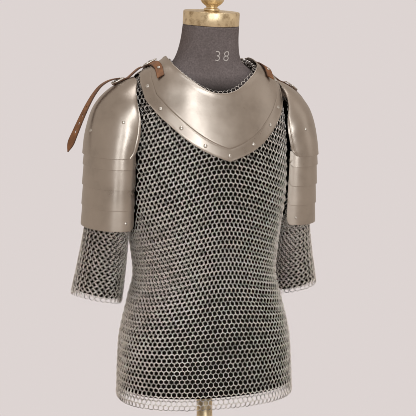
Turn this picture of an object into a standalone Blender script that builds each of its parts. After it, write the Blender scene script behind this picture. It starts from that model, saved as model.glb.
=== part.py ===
"""Mail shirt with gorget and pauldrons on a limbless dress form.

Metres, +Z up, the wearer's front faces -Y and the wearer's right is -X.
Heights in the tables are measured from eye_height, the level of the front of the neckline.
"""
import math

import bpy
from mathutils import Vector

eye_height = 1.32
mail_wall = 0.006
seam_gap = 0.0003
seat_gap = 0.0021
form_gap = 0.0024
plate = 0.0016
leather = 0.0026
strap_width = 0.018
lame_count = 4
section_power = 2.25
hem_drop = -0.647
armhole_low = -0.290
armhole_high = 0.012
armhole_depth = 0.062
base_radius = 0.205
base_height = 0.022
pole_radius = 0.0175

# height, half width, half depth, centre y of the mail's middle surface
body_rows = (
    (-0.660, 0.196, 0.150, 0.000),
    (-0.530, 0.190, 0.146, 0.000),
    (-0.430, 0.169, 0.132, 0.000),
    (-0.378, 0.157, 0.124, 0.000),
    (-0.300, 0.165, 0.127, 0.000),
    (-0.190, 0.182, 0.134, 0.000),
    (-0.100, 0.186, 0.129, 0.002),
    (-0.040, 0.182, 0.116, 0.002),
    (0.000, 0.172, 0.103, 0.000),
    (0.020, 0.164, 0.096, -0.002),
    (0.035, 0.156, 0.088, -0.005),
    (0.050, 0.143, 0.081, -0.008),
    (0.062, 0.123, 0.076, -0.011),
    (0.074, 0.101, 0.072, -0.014),
    (0.092, 0.077, 0.068, -0.018),
)
# the same columns for the upper part of the form, where the neck rises out of the shirt
neck_rows = (
    (0.030, 0.1480, 0.0840, -0.004),
    (0.045, 0.128, 0.074, -0.008),
    (0.060, 0.101, 0.068, -0.012),
    (0.072, 0.083, 0.065, -0.015),
    (0.085, 0.071, 0.063, -0.019),
    (0.105, 0.064, 0.062, -0.026),
    (0.130, 0.060, 0.060, -0.034),
    (0.155, 0.0585, 0.0585, -0.041),
)
# share of the sleeve, outer edge x z, inner edge x z, half depth, centre y
sleeve_rows = (
    (0.00, 0.178, 0.0060, 0.1760, -0.2855, 0.0575, 0.000),
    (0.10, 0.202, -0.004, 0.1765, -0.2900, 0.0575, 0.002),
    (0.20, 0.219, -0.019, 0.1765, -0.2950, 0.0575, 0.005),
    (0.30, 0.233, -0.046, 0.1760, -0.3020, 0.0575, 0.008),
    (0.42, 0.242, -0.092, 0.1755, -0.3120, 0.0575, 0.013),
    (0.55, 0.247, -0.160, 0.1755, -0.3280, 0.0600, 0.019),
    (0.68, 0.253, -0.235, 0.1755, -0.3500, 0.0590, 0.026),
    (0.84, 0.267, -0.325, 0.1765, -0.3900, 0.0580, 0.037),
    (1.00, 0.286, -0.418, 0.1800, -0.4400, 0.0580, 0.047),
)
# share across, x, height of the outer edge of the front and back gorget plates
gorget_front_edge = (
    (0.00, 0.000, -0.133),
    (0.20, 0.042, -0.117),
    (0.38, 0.080, -0.094),
    (0.55, 0.113, -0.063),
    (0.70, 0.139, -0.030),
    (0.82, 0.152, 0.000),
    (0.92, 0.152, 0.025),
    (1.00, 0.147, 0.046),
)
gorget_back_edge = (
    (0.00, 0.000, -0.074),
    (0.30, 0.062, -0.070),
    (0.55, 0.113, -0.050),
    (0.75, 0.144, -0.018),
    (0.90, 0.152, 0.020),
    (1.00, 0.147, 0.046),
)
# top x z, centre x z, half depth, half angle of the dome's arcs
dome_rows = (
    (0.160, 0.045, 0.163, -0.010, 0.058, 38.0),
    (0.185, 0.035, 0.165, -0.022, 0.070, 74.0),
    (0.208, 0.022, 0.168, -0.036, 0.076, 92.0),
    (0.228, 0.004, 0.176, -0.052, 0.079, 101.0),
    (0.245, -0.020, 0.184, -0.068, 0.082, 105.0),
    (0.256, -0.050, 0.191, -0.086, 0.083, 107.0),
    (0.263, -0.083, 0.197, -0.101, 0.083, 109.0),
    (0.267, -0.117, 0.201, -0.117, 0.0825, 104.0),
)
# top, bottom, half width, half depth of each lame's lower edge
lame_rows = (
    (-0.105, -0.140, 0.0648, 0.0806),
    (-0.128, -0.1825, 0.0652, 0.0802),
    (-0.170, -0.2255, 0.0654, 0.0785),
    (-0.2125, -0.269, 0.0658, 0.0780),
)
front_drop = 0.009
gorget_skew = 0.06
end_lift = 0.0012
loose_twist = 0.8
gorget_rivets = (-0.92, -0.72, -0.5, -0.25, 0.0, 0.25, 0.5, 0.72, 0.92)


def row_at(rows, key, column):
    """Smoothly interpolated value of one column of a table keyed by its first column."""
    last = len(rows) - 1
    if key <= rows[0][0]:
        return rows[0][column]
    if key >= rows[last][0]:
        return rows[last][column]
    at = 0
    while rows[at + 1][0] < key:
        at += 1

    def slope(index):
        if index <= 0 or index >= last:
            near = min(max(index, 0), last - 1)
            return (rows[near + 1][column] - rows[near][column]) / (rows[near + 1][0] - rows[near][0])
        before = (rows[index][column] - rows[index - 1][column]) / (rows[index][0] - rows[index - 1][0])
        after = (rows[index + 1][column] - rows[index][column]) / (rows[index + 1][0] - rows[index][0])
        if before * after <= 0.0:
            return 0.0
        return 2.0 * before * after / (before + after)

    width = rows[at + 1][0] - rows[at][0]
    t = (key - rows[at][0]) / width
    start = rows[at][column]
    end = rows[at + 1][column]
    lead = slope(at) * width
    trail = slope(at + 1) * width
    return (
        (2 * t**3 - 3 * t**2 + 1) * start
        + (t**3 - 2 * t**2 + t) * lead
        + (3 * t**2 - 2 * t**3) * end
        + (t**3 - t**2) * trail
    )


def section_radius(rows, height, phi):
    half_width = row_at(rows, height, 1)
    half_depth = row_at(rows, height, 2)
    across = abs(math.sin(phi)) / half_width
    deep = abs(math.cos(phi)) / half_depth
    return (across**section_power + deep**section_power) ** (-1.0 / section_power)


def section_point(rows, height, phi):
    radius = section_radius(rows, height, phi)
    centre = row_at(rows, height, 3)
    return Vector((radius * math.sin(phi), centre - radius * math.cos(phi), eye_height + height))


def body_point(height, phi, out=0.0):
    """Point of the body's surface; phi is 0 at the front and 90 degrees at the wearer's left."""
    point = section_point(body_rows, height, phi)
    if out == 0.0:
        return point
    step = 0.01
    along = section_point(body_rows, height, phi + step) - section_point(body_rows, height, phi - step)
    rise = 0.002
    up = section_point(body_rows, height + rise, phi) - section_point(body_rows, height - rise, phi)
    return point + along.cross(up).normalized() * out


def phi_at_y(height, y):
    low = 0.0
    high = math.pi
    for _ in range(40):
        middle = 0.5 * (low + high)
        if section_point(body_rows, height, middle).y < y:
            low = middle
        else:
            high = middle
    return 0.5 * (low + high)


def phi_at_x(height, x):
    low = 0.0
    high = math.pi / 2
    for _ in range(40):
        middle = 0.5 * (low + high)
        if section_point(body_rows, height, middle).x < x:
            low = middle
        else:
            high = middle
    return 0.5 * (low + high)


def height_at(x, y):
    """Height of the shoulder's surface above a place in plan."""
    low = -0.10
    high = 0.088
    for _ in range(40):
        middle = 0.5 * (low + high)
        centre = row_at(body_rows, middle, 3)
        phi = math.atan2(x, centre - y)
        if section_radius(body_rows, middle, phi) > math.hypot(x, centre - y):
            low = middle
        else:
            high = middle
    return 0.5 * (low + high)


def neckline(front, share):
    """Height of the shirt's neck edge; share is 0 at the centre and 1 at the shoulder."""
    bend = abs(math.sin(share * math.pi / 2)) ** 2
    if front:
        return 0.014 + 0.072 * bend
    return 0.070 + 0.016 * bend


def material(name, color, metallic, roughness):
    made = bpy.data.materials.new(name)
    made.use_nodes = True
    shader = made.node_tree.nodes["Principled BSDF"]
    shader.inputs["Base Color"].default_value = (color[0], color[1], color[2], 1.0)
    shader.inputs["Metallic"].default_value = metallic
    shader.inputs["Roughness"].default_value = roughness
    return made


def add_object(name, verts, faces, look, smooth=True):
    mesh = bpy.data.meshes.new(name)
    mesh.from_pydata([tuple(v) for v in verts], [], faces)
    mesh.materials.append(look)
    mesh.polygons.foreach_set("use_smooth", [smooth] * len(mesh.polygons))
    mesh.update()
    made = bpy.data.objects.new(name, mesh)
    bpy.context.scene.collection.objects.link(made)
    return made


def grid_normals(grid, closed):
    """Normals of a grid of points, rows by columns; closed joins the last column to the first."""
    rows = len(grid)
    columns = len(grid[0])
    normals = []
    for r in range(rows):
        line = []
        for c in range(columns):
            if closed:
                right = grid[r][(c + 1) % columns]
                left = grid[r][(c - 1) % columns]
            else:
                right = grid[r][min(c + 1, columns - 1)]
                left = grid[r][max(c - 1, 0)]
            above = grid[min(r + 1, rows - 1)][c]
            below = grid[max(r - 1, 0)][c]
            line.append((right - left).cross(above - below).normalized())
        normals.append(line)
    return normals


def wall(name, grid, look, inner, outer, closed=False, normals=None):
    """Closed wall around a grid of middle points; inner and outer give the offset at (row, column)."""
    rows = len(grid)
    columns = len(grid[0])
    if normals is None:
        normals = grid_normals(grid, closed)
    verts = []
    for offset in (outer, inner):
        for r in range(rows):
            for c in range(columns):
                verts.append(grid[r][c] + normals[r][c] * offset(r, c))
    half = rows * columns
    faces = []
    spans = columns if closed else columns - 1
    for r in range(rows - 1):
        for c in range(spans):
            n = (c + 1) % columns
            a = r * columns + c
            b = r * columns + n
            d = (r + 1) * columns + c
            e = (r + 1) * columns + n
            faces.append((a, b, e, d))
            faces.append((half + a, half + d, half + e, half + b))
    for c in range(spans):
        n = (c + 1) % columns
        faces.append((c, half + c, half + n, n))
        top = (rows - 1) * columns
        faces.append((top + c, top + n, half + top + n, half + top + c))
    if not closed:
        for r in range(rows - 1):
            a = r * columns
            d = (r + 1) * columns
            faces.append((a, d, half + d, half + a))
            a = r * columns + columns - 1
            d = (r + 1) * columns + columns - 1
            faces.append((a, half + a, half + d, d))
    return add_object(name, verts, faces, look)


def mirrored(made):
    """Reflect an object's mesh to the wearer's right."""
    for vertex in made.data.vertices:
        vertex.co.x = -vertex.co.x
    made.data.flip_normals()
    return made


def lathe(name, profile, centre, lean, look, segments=32):
    """Turned solid from (radius, height) pairs, closed on the axis, leaning forward by lean radians."""
    verts = []
    faces = []
    for radius, height in profile[1:-1]:
        for s in range(segments):
            angle = 2 * math.pi * s / segments
            verts.append((radius * math.cos(angle), radius * math.sin(angle), height))
    rings = len(profile) - 2
    for k in range(rings - 1):
        for s in range(segments):
            n = (s + 1) % segments
            faces.append((k * segments + s, k * segments + n, (k + 1) * segments + n, (k + 1) * segments + s))
    bottom = len(verts)
    verts.append((0.0, 0.0, profile[0][1]))
    verts.append((0.0, 0.0, profile[-1][1]))
    for s in range(segments):
        n = (s + 1) % segments
        faces.append((bottom, n, s))
        faces.append((bottom + 1, (rings - 1) * segments + s, (rings - 1) * segments + n))
    placed = []
    for x, y, z in verts:
        turned_y = y * math.cos(lean) - z * math.sin(lean)
        turned_z = y * math.sin(lean) + z * math.cos(lean)
        placed.append((centre[0] + x, centre[1] + turned_y, centre[2] + turned_z))
    return add_object(name, placed, faces, look)


def body_heights():
    """Heights of the panels' rows at the side edge, from hem to neck."""
    heights = []
    for k in range(11):
        heights.append(hem_drop + (armhole_low - hem_drop) * k / 11)
    middle = 0.5 * (armhole_low + armhole_high)
    half = 0.5 * (armhole_high - armhole_low)
    for k in range(11):
        heights.append(middle - half * math.cos(math.pi * k / 10))
    for k in range(1, 7):
        heights.append(armhole_high + (neckline(True, 1.0) - armhole_high) * k / 6)
    return heights


def armhole_half_depth(height):
    middle = 0.5 * (armhole_low + armhole_high)
    half = 0.5 * (armhole_high - armhole_low)
    part = (height - middle) / half
    if abs(part) >= 1.0:
        return 0.0
    return armhole_depth * math.sqrt(1.0 - part * part)


def mail_panel(name, front, look):
    grid = []
    for side_height in body_heights():
        depth = armhole_half_depth(side_height) + 0.5 * seam_gap
        if front:
            edge = phi_at_y(side_height, -depth)
        else:
            edge = math.pi - phi_at_y(side_height, depth)
        line = []
        for c in range(23):
            share = -1.0 + 2.0 * c / 22
            height = side_height
            if side_height > armhole_low:
                rise = (neckline(front, share) - armhole_low) / (neckline(True, 1.0) - armhole_low)
                height = armhole_low + (side_height - armhole_low) * rise
            phi = share * edge if front else math.pi + share * edge
            line.append((height, phi))
        grid.append(line)
    points = [[body_point(h, phi) for h, phi in line] for line in grid]
    normals = []
    for line in grid:
        normals.append([(body_point(h, phi, 0.01) - body_point(h, phi)).normalized() for h, phi in line])
    half = 0.5 * mail_wall
    return wall(name, points, look, lambda r, c: -half, lambda r, c: half, normals=normals)


def sleeve_grid():
    """Middle points of the left sleeve, from the armhole to the cuff."""
    count = 26
    shrink = 0.5 * mail_wall + 0.0021
    middle = 0.5 * (armhole_low + armhole_high)
    half = 0.5 * (armhole_high - armhole_low) - shrink
    first = []
    for c in range(count):
        angle = 2 * math.pi * c / count
        height = middle + half * math.cos(angle)
        y = (armhole_depth - shrink) * math.sin(angle)
        first.append(body_point(height, phi_at_y(height, y)))
    grid = [first]
    shares = (0.0, 0.08, 0.17, 0.27, 0.38, 0.50, 0.65, 0.82, 1.0)
    for share in shares:
        outer = Vector((row_at(sleeve_rows, share, 1), 0.0, row_at(sleeve_rows, share, 2)))
        inner = Vector((row_at(sleeve_rows, share, 3), 0.0, row_at(sleeve_rows, share, 4)))
        depth = row_at(sleeve_rows, share, 5)
        centre = 0.5 * (outer + inner)
        centre.y = row_at(sleeve_rows, share, 6)
        centre.z += eye_height
        reach = 0.5 * (outer - inner)
        line = []
        for c in range(count):
            angle = 2 * math.pi * c / count
            line.append(centre + reach * math.cos(angle) + Vector((0.0, depth * math.sin(angle), 0.0)))
        grid.append(line)
    blend = 0.012
    moved = []
    for c in range(count):
        moved.append(first[c] + Vector((blend, 0.0, 0.0)))
    for c in range(count):
        grid[1][c] = 0.75 * moved[c] + 0.25 * grid[1][c]
        grid[2][c] = 0.2 * (moved[c] + Vector((0.012, 0.0, 0.0))) + 0.8 * grid[2][c]
    return grid


def gorget_plate(name, front, edge_rows, look):
    """Plate lying on the shirt, with a raised inner field and a stepped border."""
    columns = 29
    border = 0.026 if front else 0.020
    grid = []
    lines = []
    spread = []
    for c in range(columns):
        place = -1.0 + 2.0 * c / (columns - 1)
        spread.append(math.copysign(1.0 - (1.0 - abs(place)) ** 1.4, place))
    for share in spread:
        across = abs(share)
        bend = abs(math.sin(share * math.pi / 2)) ** 2
        top = (0.008 if front else 0.061) + (0.075 if front else 0.022) * bend
        near_phi = across * phi_at_y(top, -0.004)
        if not front:
            near_phi = math.pi - across * (math.pi - phi_at_y(top, 0.004))
        low = row_at(edge_rows, across, 2)
        far_phi = phi_at_x(low, row_at(edge_rows, across, 1))
        far_phi = min(far_phi, phi_at_y(low, -0.004))
        if not front:
            far_phi = math.pi - min(far_phi, math.pi - phi_at_y(low, 0.004))
        sign = 1.0 if share >= 0 else -1.0
        if front:
            far_phi += sign * gorget_skew * (1.0 - across**2)
        length = (body_point(top, near_phi) - body_point(low, far_phi)).length
        crease = max(0.35, 1.0 - border / length)
        shares = [crease * s for s in (0.0, 0.25, 0.5, 0.75)]
        shares += [crease - 0.02, crease + 0.02, 0.5 * (1.0 + crease), 1.0]
        line = []
        for v in shares:
            height = top + (low - top) * v
            phi = sign * (near_phi + (far_phi - near_phi) * v)
            line.append((height, phi))
        lines.append(line)
    rows = len(lines[0])
    lift = 0.5 * mail_wall + seat_gap + 0.5 * plate
    points = []
    normals = []
    for r in range(rows - 1, -1, -1):
        raised = 0.0012 if r <= 4 else 0.0
        level = []
        facing = []
        order = range(columns) if front else range(columns - 1, -1, -1)
        for c in order:
            height, phi = lines[c][r]
            base = body_point(height, phi)
            out = (body_point(height, phi, 0.01) - base).normalized()
            stand_off = end_lift * abs(spread[c]) ** 8 * (1.0 - r / (rows - 1)) ** 2
            level.append(base + out * (lift + raised + stand_off))
            facing.append(out)
        points.append(level)
        normals.append(facing)
    half = 0.5 * plate
    made = wall(name, points, look, lambda r, c: -half, lambda r, c: half, normals=normals)
    if front:
        heads = []
        for share in gorget_rivets:
            c = min(range(columns), key=lambda k: abs(spread[k] - share))
            height, phi = lines[c][6]
            base = body_point(height, phi)
            direction = (body_point(height, phi, 0.01) - base).normalized()
            heads.append((base + direction * (lift + half), direction))
        add_rivets(made, heads)
    return made


def add_rivets(target, heads, radius=0.0036, rise=0.0019):
    """Fuse low domed heads with a plate; heads are (point on the outer face, direction)."""
    verts = []
    faces = []
    sides = 8
    for point, direction in heads:
        side = direction.orthogonal().normalized()
        other = direction.cross(side)
        start = len(verts)
        for scale, height in ((0.9, -0.0008), (1.0, 0.0002), (0.7, 0.72 * rise)):
            for s in range(sides):
                angle = 2 * math.pi * s / sides
                spread = side * math.cos(angle) + other * math.sin(angle)
                verts.append(point + spread * radius * scale + direction * height)
        verts.append(point + direction * rise)
        for ring in range(2):
            for s in range(sides):
                n = (s + 1) % sides
                a = start + ring * sides
                faces.append((a + s, a + n, a + sides + n, a + sides + s))
        top = start + 3 * sides
        for s in range(sides):
            n = (s + 1) % sides
            faces.append((start + 2 * sides + s, start + 2 * sides + n, top))
        faces.append(tuple(start + s for s in range(sides - 1, -1, -1)))
    heads_object = add_object(target.name + "_heads", verts, faces, target.data.materials[0])
    heads_object.hide_render = True
    heads_object.display_type = "WIRE"
    join = target.modifiers.new("rivets", "BOOLEAN")
    join.operation = "UNION"
    join.solver = "EXACT"
    join.object = heads_object


def dome_point(share, angle, out=0.0):
    """Point on the left dome; share runs from the neck edge to the lower edge."""
    rows = [(k / (len(dome_rows) - 1),) + row for k, row in enumerate(dome_rows)]
    top = Vector((row_at(rows, share, 1), 0.0, row_at(rows, share, 2)))
    centre = Vector((row_at(rows, share, 3), 0.0, row_at(rows, share, 4)))
    depth = row_at(rows, share, 5)
    reach = top - centre
    spread = reach.normalized() * (reach.length + out)
    place = centre + spread * math.cos(angle)
    shift = 0.004 + 0.003 * share
    drop = front_drop * math.sin(angle) * share**3
    return Vector((place.x, shift - (depth + out) * math.sin(angle), place.z - drop + eye_height))


def dome_limit(share):
    rows = [(k / (len(dome_rows) - 1),) + row for k, row in enumerate(dome_rows)]
    return math.radians(row_at(rows, share, 6))


def pauldron_dome(name, look, mirror):
    grid = []
    columns = 19
    rows = 10
    for r in range(rows):
        share = 1.0 - r / (rows - 1)
        limit = dome_limit(share)
        line = []
        for c in range(columns):
            part = -1.0 + 2.0 * c / (columns - 1)
            round_off = 0.0
            if r == 0:
                round_off = 0.02 * abs(part) ** 12
            line.append(dome_point(share - round_off, part * limit))
        grid.append(line)
    half = 0.5 * plate

    def outer(r, c):
        edge = min(c, columns - 1 - c)
        return half + (0.0012 if edge == 0 or r == rows - 1 else 0.0)

    made = wall(name, grid, look, lambda r, c: -half, outer)
    if mirror:
        mirrored(made)
    return made


def lame(name, index, look, mirror):
    top, bottom, half_width, half_depth = lame_rows[index]
    limit = math.radians(109.0)
    columns = 19
    grid = []
    for r in range(3):
        share = r / 2
        height = bottom + (top - bottom) * share
        tuck = -0.0032 * share
        cx = 0.201 - 0.012 * (height + 0.125)
        cy = 0.007 - 0.11 * (height + 0.125)
        line = []
        for c in range(columns):
            part = -1.0 + 2.0 * c / (columns - 1)
            angle = part * limit
            low_front = -front_drop * math.sin(angle)
            lift = 0.0
            if r == 0:
                lift = 0.010 * abs(part) ** 16
            x = cx + (half_width + tuck) * math.cos(angle)
            y = cy - (half_depth + tuck) * math.sin(angle)
            line.append(Vector((x, y, eye_height + height + low_front + lift)))
        grid.append(line)
    half = 0.5 * plate
    turned = [list(reversed(line)) for line in grid]
    made = wall(name, turned, look, lambda r, c: -half, lambda r, c: half)
    if mirror:
        mirrored(made)
    return made


def strap(name, path, across, look, width=strap_width, pointed=True, twist=0.0):
    """Flat strap along a path of middle points; across is the direction of its width at the start."""
    verts = []
    faces = []
    count = len(path)
    across = Vector(across).normalized()
    for k in range(count):
        ahead = path[min(k + 1, count - 1)] - path[max(k - 1, 0)]
        up = ahead.cross(across).normalized()
        turn = twist * (k / (count - 1)) ** 1.5
        edge = across * math.cos(turn) + up * math.sin(turn)
        up = ahead.cross(edge).normalized() * (0.5 * leather)
        half = 0.5 * width
        if pointed and k == count - 1:
            half *= 0.35
        if pointed and k == count - 2:
            half *= 0.85
        side = edge * half
        verts += [path[k] - side + up, path[k] + side + up, path[k] + side - up, path[k] - side - up]
    for k in range(count - 1):
        a = 4 * k
        for s in range(4):
            n = (s + 1) % 4
            faces.append((a + s, a + 4 + s, a + 4 + n, a + n))
    faces.append((0, 1, 2, 3))
    last = 4 * (count - 1)
    faces.append((last + 3, last + 2, last + 1, last))
    return add_object(name, verts, faces, look, smooth=False)


def buckle(name, centre, along, across, look, length=0.018, width=0.027, wire=0.0016):
    """Rounded rectangular frame swept with a round wire."""
    along = Vector(along).normalized()
    across = Vector(across)
    across = (across - along * across.dot(along)).normalized()
    up = along.cross(across)
    corner = 0.004
    path = []
    for qx, qy, start in ((1, 1, 0), (-1, 1, 90), (-1, -1, 180), (1, -1, 270)):
        for k in range(4):
            angle = math.radians(start + 30 * k)
            x = qx * (0.5 * length - corner) + corner * math.cos(angle)
            y = qy * (0.5 * width - corner) + corner * math.sin(angle)
            path.append((x, y, math.cos(angle), math.sin(angle)))
    verts = []
    faces = []
    sides = 6
    for x, y, nx, ny in path:
        for s in range(sides):
            angle = 2 * math.pi * s / sides
            spread = (along * nx + across * ny) * math.cos(angle) + up * math.sin(angle)
            verts.append(centre + along * x + across * y + spread * wire)
    count = len(path)
    for k in range(count):
        m = (k + 1) % count
        for s in range(sides):
            n = (s + 1) % sides
            faces.append((k * sides + s, m * sides + s, m * sides + n, k * sides + n))
    return add_object(name, verts, faces, look)


def shoulder_slope(side):
    """Direction across the joining strap, down the shoulder's slope."""
    rise = height_at(0.125, 0.0) - height_at(0.109, 0.0)
    return Vector((side * 0.016, 0.0, rise)).normalized()


def shoulder_strap_path(side):
    """Strap that joins the gorget's plates over one shoulder."""
    path = []
    lift = 0.5 * mail_wall + seat_gap + plate + 0.0012 + 0.0014 + 0.5 * leather
    for k in range(11):
        y = -0.066 + 0.108 * k / 10
        x = 0.117
        height = height_at(x, y)
        phi = math.atan2(x, row_at(body_rows, height, 3) - y)
        point = body_point(height, phi, lift + 0.06 * max(0.0, -y - 0.03))
        path.append(Vector((side * point.x, point.y, point.z)))
    return path


def pauldron_strap_path(side):
    """Strap from the gorget's shoulder end over the dome's top."""
    path = []
    lift = 0.5 * mail_wall + seat_gap + plate + 0.0012 + 0.0007 + 0.5 * leather
    for x in (0.1285, 0.1340, 0.1395):
        height = height_at(x, 0.0)
        phi = math.atan2(x, row_at(body_rows, height, 3))
        point = body_point(height, phi, lift + 0.25 * (x - 0.1275))
        path.append(Vector((side * point.x, 0.008, point.z)))
    over = 0.5 * plate + 0.0004 + seam_gap + 0.5 * leather
    last = 0.56 if side > 0 else 0.24
    first = 0.02
    count = 8
    for k in range(count + 1):
        share = first + (last - first) * k / count
        point = dome_point(share, 0.0, over)
        path.append(Vector((side * point.x, 0.008, point.z)))
    return path


def free_strap_path():
    """Long loose end on the wearer's right, from the buckle out and down beside the dome."""
    places = (
        (0.1890, 0.0421),
        (0.2000, 0.0404),
        (0.2140, 0.0357),
        (0.2290, 0.0260),
        (0.2420, 0.0110),
        (0.2540, -0.0080),
        (0.2650, -0.0290),
        (0.2750, -0.0500),
        (0.2840, -0.0700),
        (0.2920, -0.0880),
        (0.2970, -0.1010),
        (0.3010, -0.1120),
    )
    return [Vector((-x, 0.008, eye_height + z)) for x, z in places]


def build_form(cloth, brass, wood):
    bottom = hem_drop + 0.022
    heights = []
    for height in body_heights():
        if bottom + 0.012 < height < 0.025:
            heights.append(height)
    heights.insert(0, bottom)
    heights += [0.031, 0.044, 0.058, 0.072, 0.088, 0.110, 0.132, 0.155]
    count = 32
    inset = 0.5 * mail_wall + form_gap
    verts = []
    for height in heights:
        for s in range(count):
            phi = 2 * math.pi * s / count
            if height < 0.030:
                verts.append(body_point(height, phi, -inset))
            else:
                point = section_point(neck_rows, height, phi)
                lean = max(0.0, (height - 0.06) / 0.095)
                centre = row_at(neck_rows, height, 3)
                point.z += math.tan(math.radians(9.0)) * lean * (point.y - centre)
                verts.append(point)
    faces = []
    rows = len(heights)
    for r in range(rows - 1):
        for s in range(count):
            n = (s + 1) % count
            faces.append((r * count + s, r * count + n, (r + 1) * count + n, (r + 1) * count + s))
    faces.append(tuple(range(count - 1, -1, -1)))
    faces.append(tuple((rows - 1) * count + s for s in range(count)))
    add_object("form_body", verts, faces, cloth)
    lean = math.radians(9.0)
    cap_foot = Vector((0.0, -0.041, eye_height + 0.155)) + Vector((0.0, -math.sin(lean), math.cos(lean))) * 0.0003
    cap = ((0.0, 0.0), (0.0590, 0.0), (0.0600, 0.0012), (0.0600, 0.0268), (0.0585, 0.0290), (0.0, 0.0300))
    lathe("neck_cap", cap, cap_foot, lean, brass, 40)
    knob = (
        (0.0, 0.0),
        (0.0165, 0.0),
        (0.0170, 0.0040),
        (0.0115, 0.0070),
        (0.0150, 0.0110),
        (0.0235, 0.0180),
        (0.0262, 0.0270),
        (0.0240, 0.0370),
        (0.0160, 0.0450),
        (0.0, 0.0480),
    )
    knob_foot = cap_foot + Vector((0.0, -math.sin(lean), math.cos(lean))) * 0.0303
    lathe("neck_knob", knob, knob_foot, lean, brass, 28)
    foot = (
        (0.0, 0.0),
        (base_radius - 0.003, 0.0),
        (base_radius, 0.003),
        (base_radius, base_height - 0.008),
        (base_radius - 0.008, base_height),
        (0.0, base_height),
    )
    lathe("stand_base", foot, (0.0, 0.0, 0.0), 0.0, wood, 48)
    low = base_height + seam_gap
    high = eye_height + bottom - seam_gap
    pole = (
        (0.0, low),
        (0.034, low),
        (0.034, low + 0.006),
        (pole_radius, low + 0.012),
        (pole_radius, high - 0.001),
        (pole_radius - 0.001, high),
        (0.0, high),
    )
    lathe("stand_pole", pole, (0.0, 0.0, 0.0), 0.0, brass, 28)


def main():
    for old in list(bpy.data.objects):
        bpy.data.objects.remove(old, do_unlink=True)
    mail = material("mail", (0.36, 0.34, 0.31), 1.0, 0.42)
    steel = material("steel", (0.55, 0.51, 0.45), 1.0, 0.3)
    hide = material("leather", (0.24, 0.10, 0.05), 0.0, 0.55)
    fittings = material("fittings", (0.62, 0.60, 0.56), 1.0, 0.3)
    cloth = material("form_cloth", (0.14, 0.12, 0.11), 0.0, 0.9)
    brass = material("brass", (0.62, 0.47, 0.24), 1.0, 0.35)
    wood = material("dark_wood", (0.10, 0.06, 0.04), 0.0, 0.5)

    mail_panel("mail_front", True, mail)
    mail_panel("mail_back", False, mail)
    half = 0.5 * mail_wall
    for side, word in ((1, "left"), (-1, "right")):
        grid = sleeve_grid()
        made = wall("sleeve_" + word, grid, mail, lambda r, c: -half, lambda r, c: half, closed=True)
        if side < 0:
            mirrored(made)
    gorget_plate("gorget_front", True, gorget_front_edge, steel)
    gorget_plate("gorget_back", False, gorget_back_edge, steel)
    for side, word in ((1, "left"), (-1, "right")):
        dome = pauldron_dome("dome_" + word, steel, side < 0)
        heads = []
        for share, degrees in ((0.78, 72.0), (0.9, 8.0)):
            angle = math.radians(degrees)
            base = dome_point(share, angle)
            direction = (dome_point(share, angle, 0.01) - base).normalized()
            point = base + direction * 0.5 * plate
            point.x *= side
            direction.x *= side
            heads.append((point, direction))
        add_rivets(dome, heads)
        for k in range(lame_count):
            lame("lame_%d_%s" % (k + 1, word), k, steel, side < 0)
        slope = shoulder_slope(side)
        strap("joining_strap_" + word, shoulder_strap_path(side), slope, hide, pointed=False)
        path = pauldron_strap_path(side)
        strap("pauldron_strap_" + word, path, (0, 1, 0), hide, pointed=side > 0)
        over = shoulder_strap_path(side)
        along = over[7] - over[5]
        rise = along.cross(slope).normalized()
        if rise.z < 0:
            rise = -rise
        seat = over[6] + rise * (0.5 * leather + 0.0016)
        buckle("joining_buckle_" + word, seat, along, slope, fittings)
        at = 7 if side > 0 else 9
        along = path[at + 1] - path[at - 1]
        up = along.cross(Vector((0, 1, 0))).normalized()
        if up.z < 0:
            up = -up
        seat = path[at] + up * (0.5 * leather + 0.0014)
        buckle("pauldron_buckle_" + word, seat, along, (0, 1, 0), fittings)
    strap("free_strap_right", free_strap_path(), (0, 1, 0), hide, twist=loose_twist)
    build_form(cloth, brass, wood)


main()
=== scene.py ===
"""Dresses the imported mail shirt: linked rings, satin plates, leather straps and the dress form.

Metres, +Z up, the wearer's front faces -Y and the wearer's right is -X.
"""

import math

import bmesh
import bpy
import numpy as np
from mathutils import Matrix, Vector


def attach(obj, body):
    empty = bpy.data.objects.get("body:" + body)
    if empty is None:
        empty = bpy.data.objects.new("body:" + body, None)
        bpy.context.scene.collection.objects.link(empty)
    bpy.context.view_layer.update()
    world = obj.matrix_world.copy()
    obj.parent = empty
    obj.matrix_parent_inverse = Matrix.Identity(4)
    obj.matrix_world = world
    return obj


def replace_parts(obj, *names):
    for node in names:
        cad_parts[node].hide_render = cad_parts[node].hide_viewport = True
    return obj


bl_info = {
    "name": "Mail Shirt Dresser",
    "version": (1, 0, 0),
    "blender": (4, 5, 0),
    "location": "View3D > Sidebar > Mail Shirt",
    "description": "Knits a mail shirt and dresses its gorget, pauldrons and dress form",
    "category": "Object",
}

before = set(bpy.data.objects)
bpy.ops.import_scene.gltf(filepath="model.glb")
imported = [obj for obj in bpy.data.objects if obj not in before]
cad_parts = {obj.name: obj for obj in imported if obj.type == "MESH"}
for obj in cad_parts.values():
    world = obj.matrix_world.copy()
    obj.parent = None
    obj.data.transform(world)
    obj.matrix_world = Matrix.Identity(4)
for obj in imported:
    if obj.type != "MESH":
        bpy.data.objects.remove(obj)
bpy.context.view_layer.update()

eye_height = 1.32
section_power = 2.25
hem_drop = -0.647
armhole_low = -0.290
armhole_high = 0.012
armhole_depth = 0.062
mail_half = 0.003
plate_seat = 0.0021
plate_thick = 0.0016
front_drop = 0.009
gorget_skew = 0.06
end_lift = 0.0012
loose_twist = 0.8
form_lean = math.radians(9.0)
neck_foot = 0.06
neck_length = 0.095
lame_limit = math.radians(115.0)

# share of the wire's width that the square section of a ring takes as its radius
section_share = 0.51
# depth inside a ring's middle at which its painted shade is full, and how much the painted shade darkens the
# tone; outer parts get painted highlight up to half as much
painted_shade_depth = 0.0024
painted_shade_gain = 0.34

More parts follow.
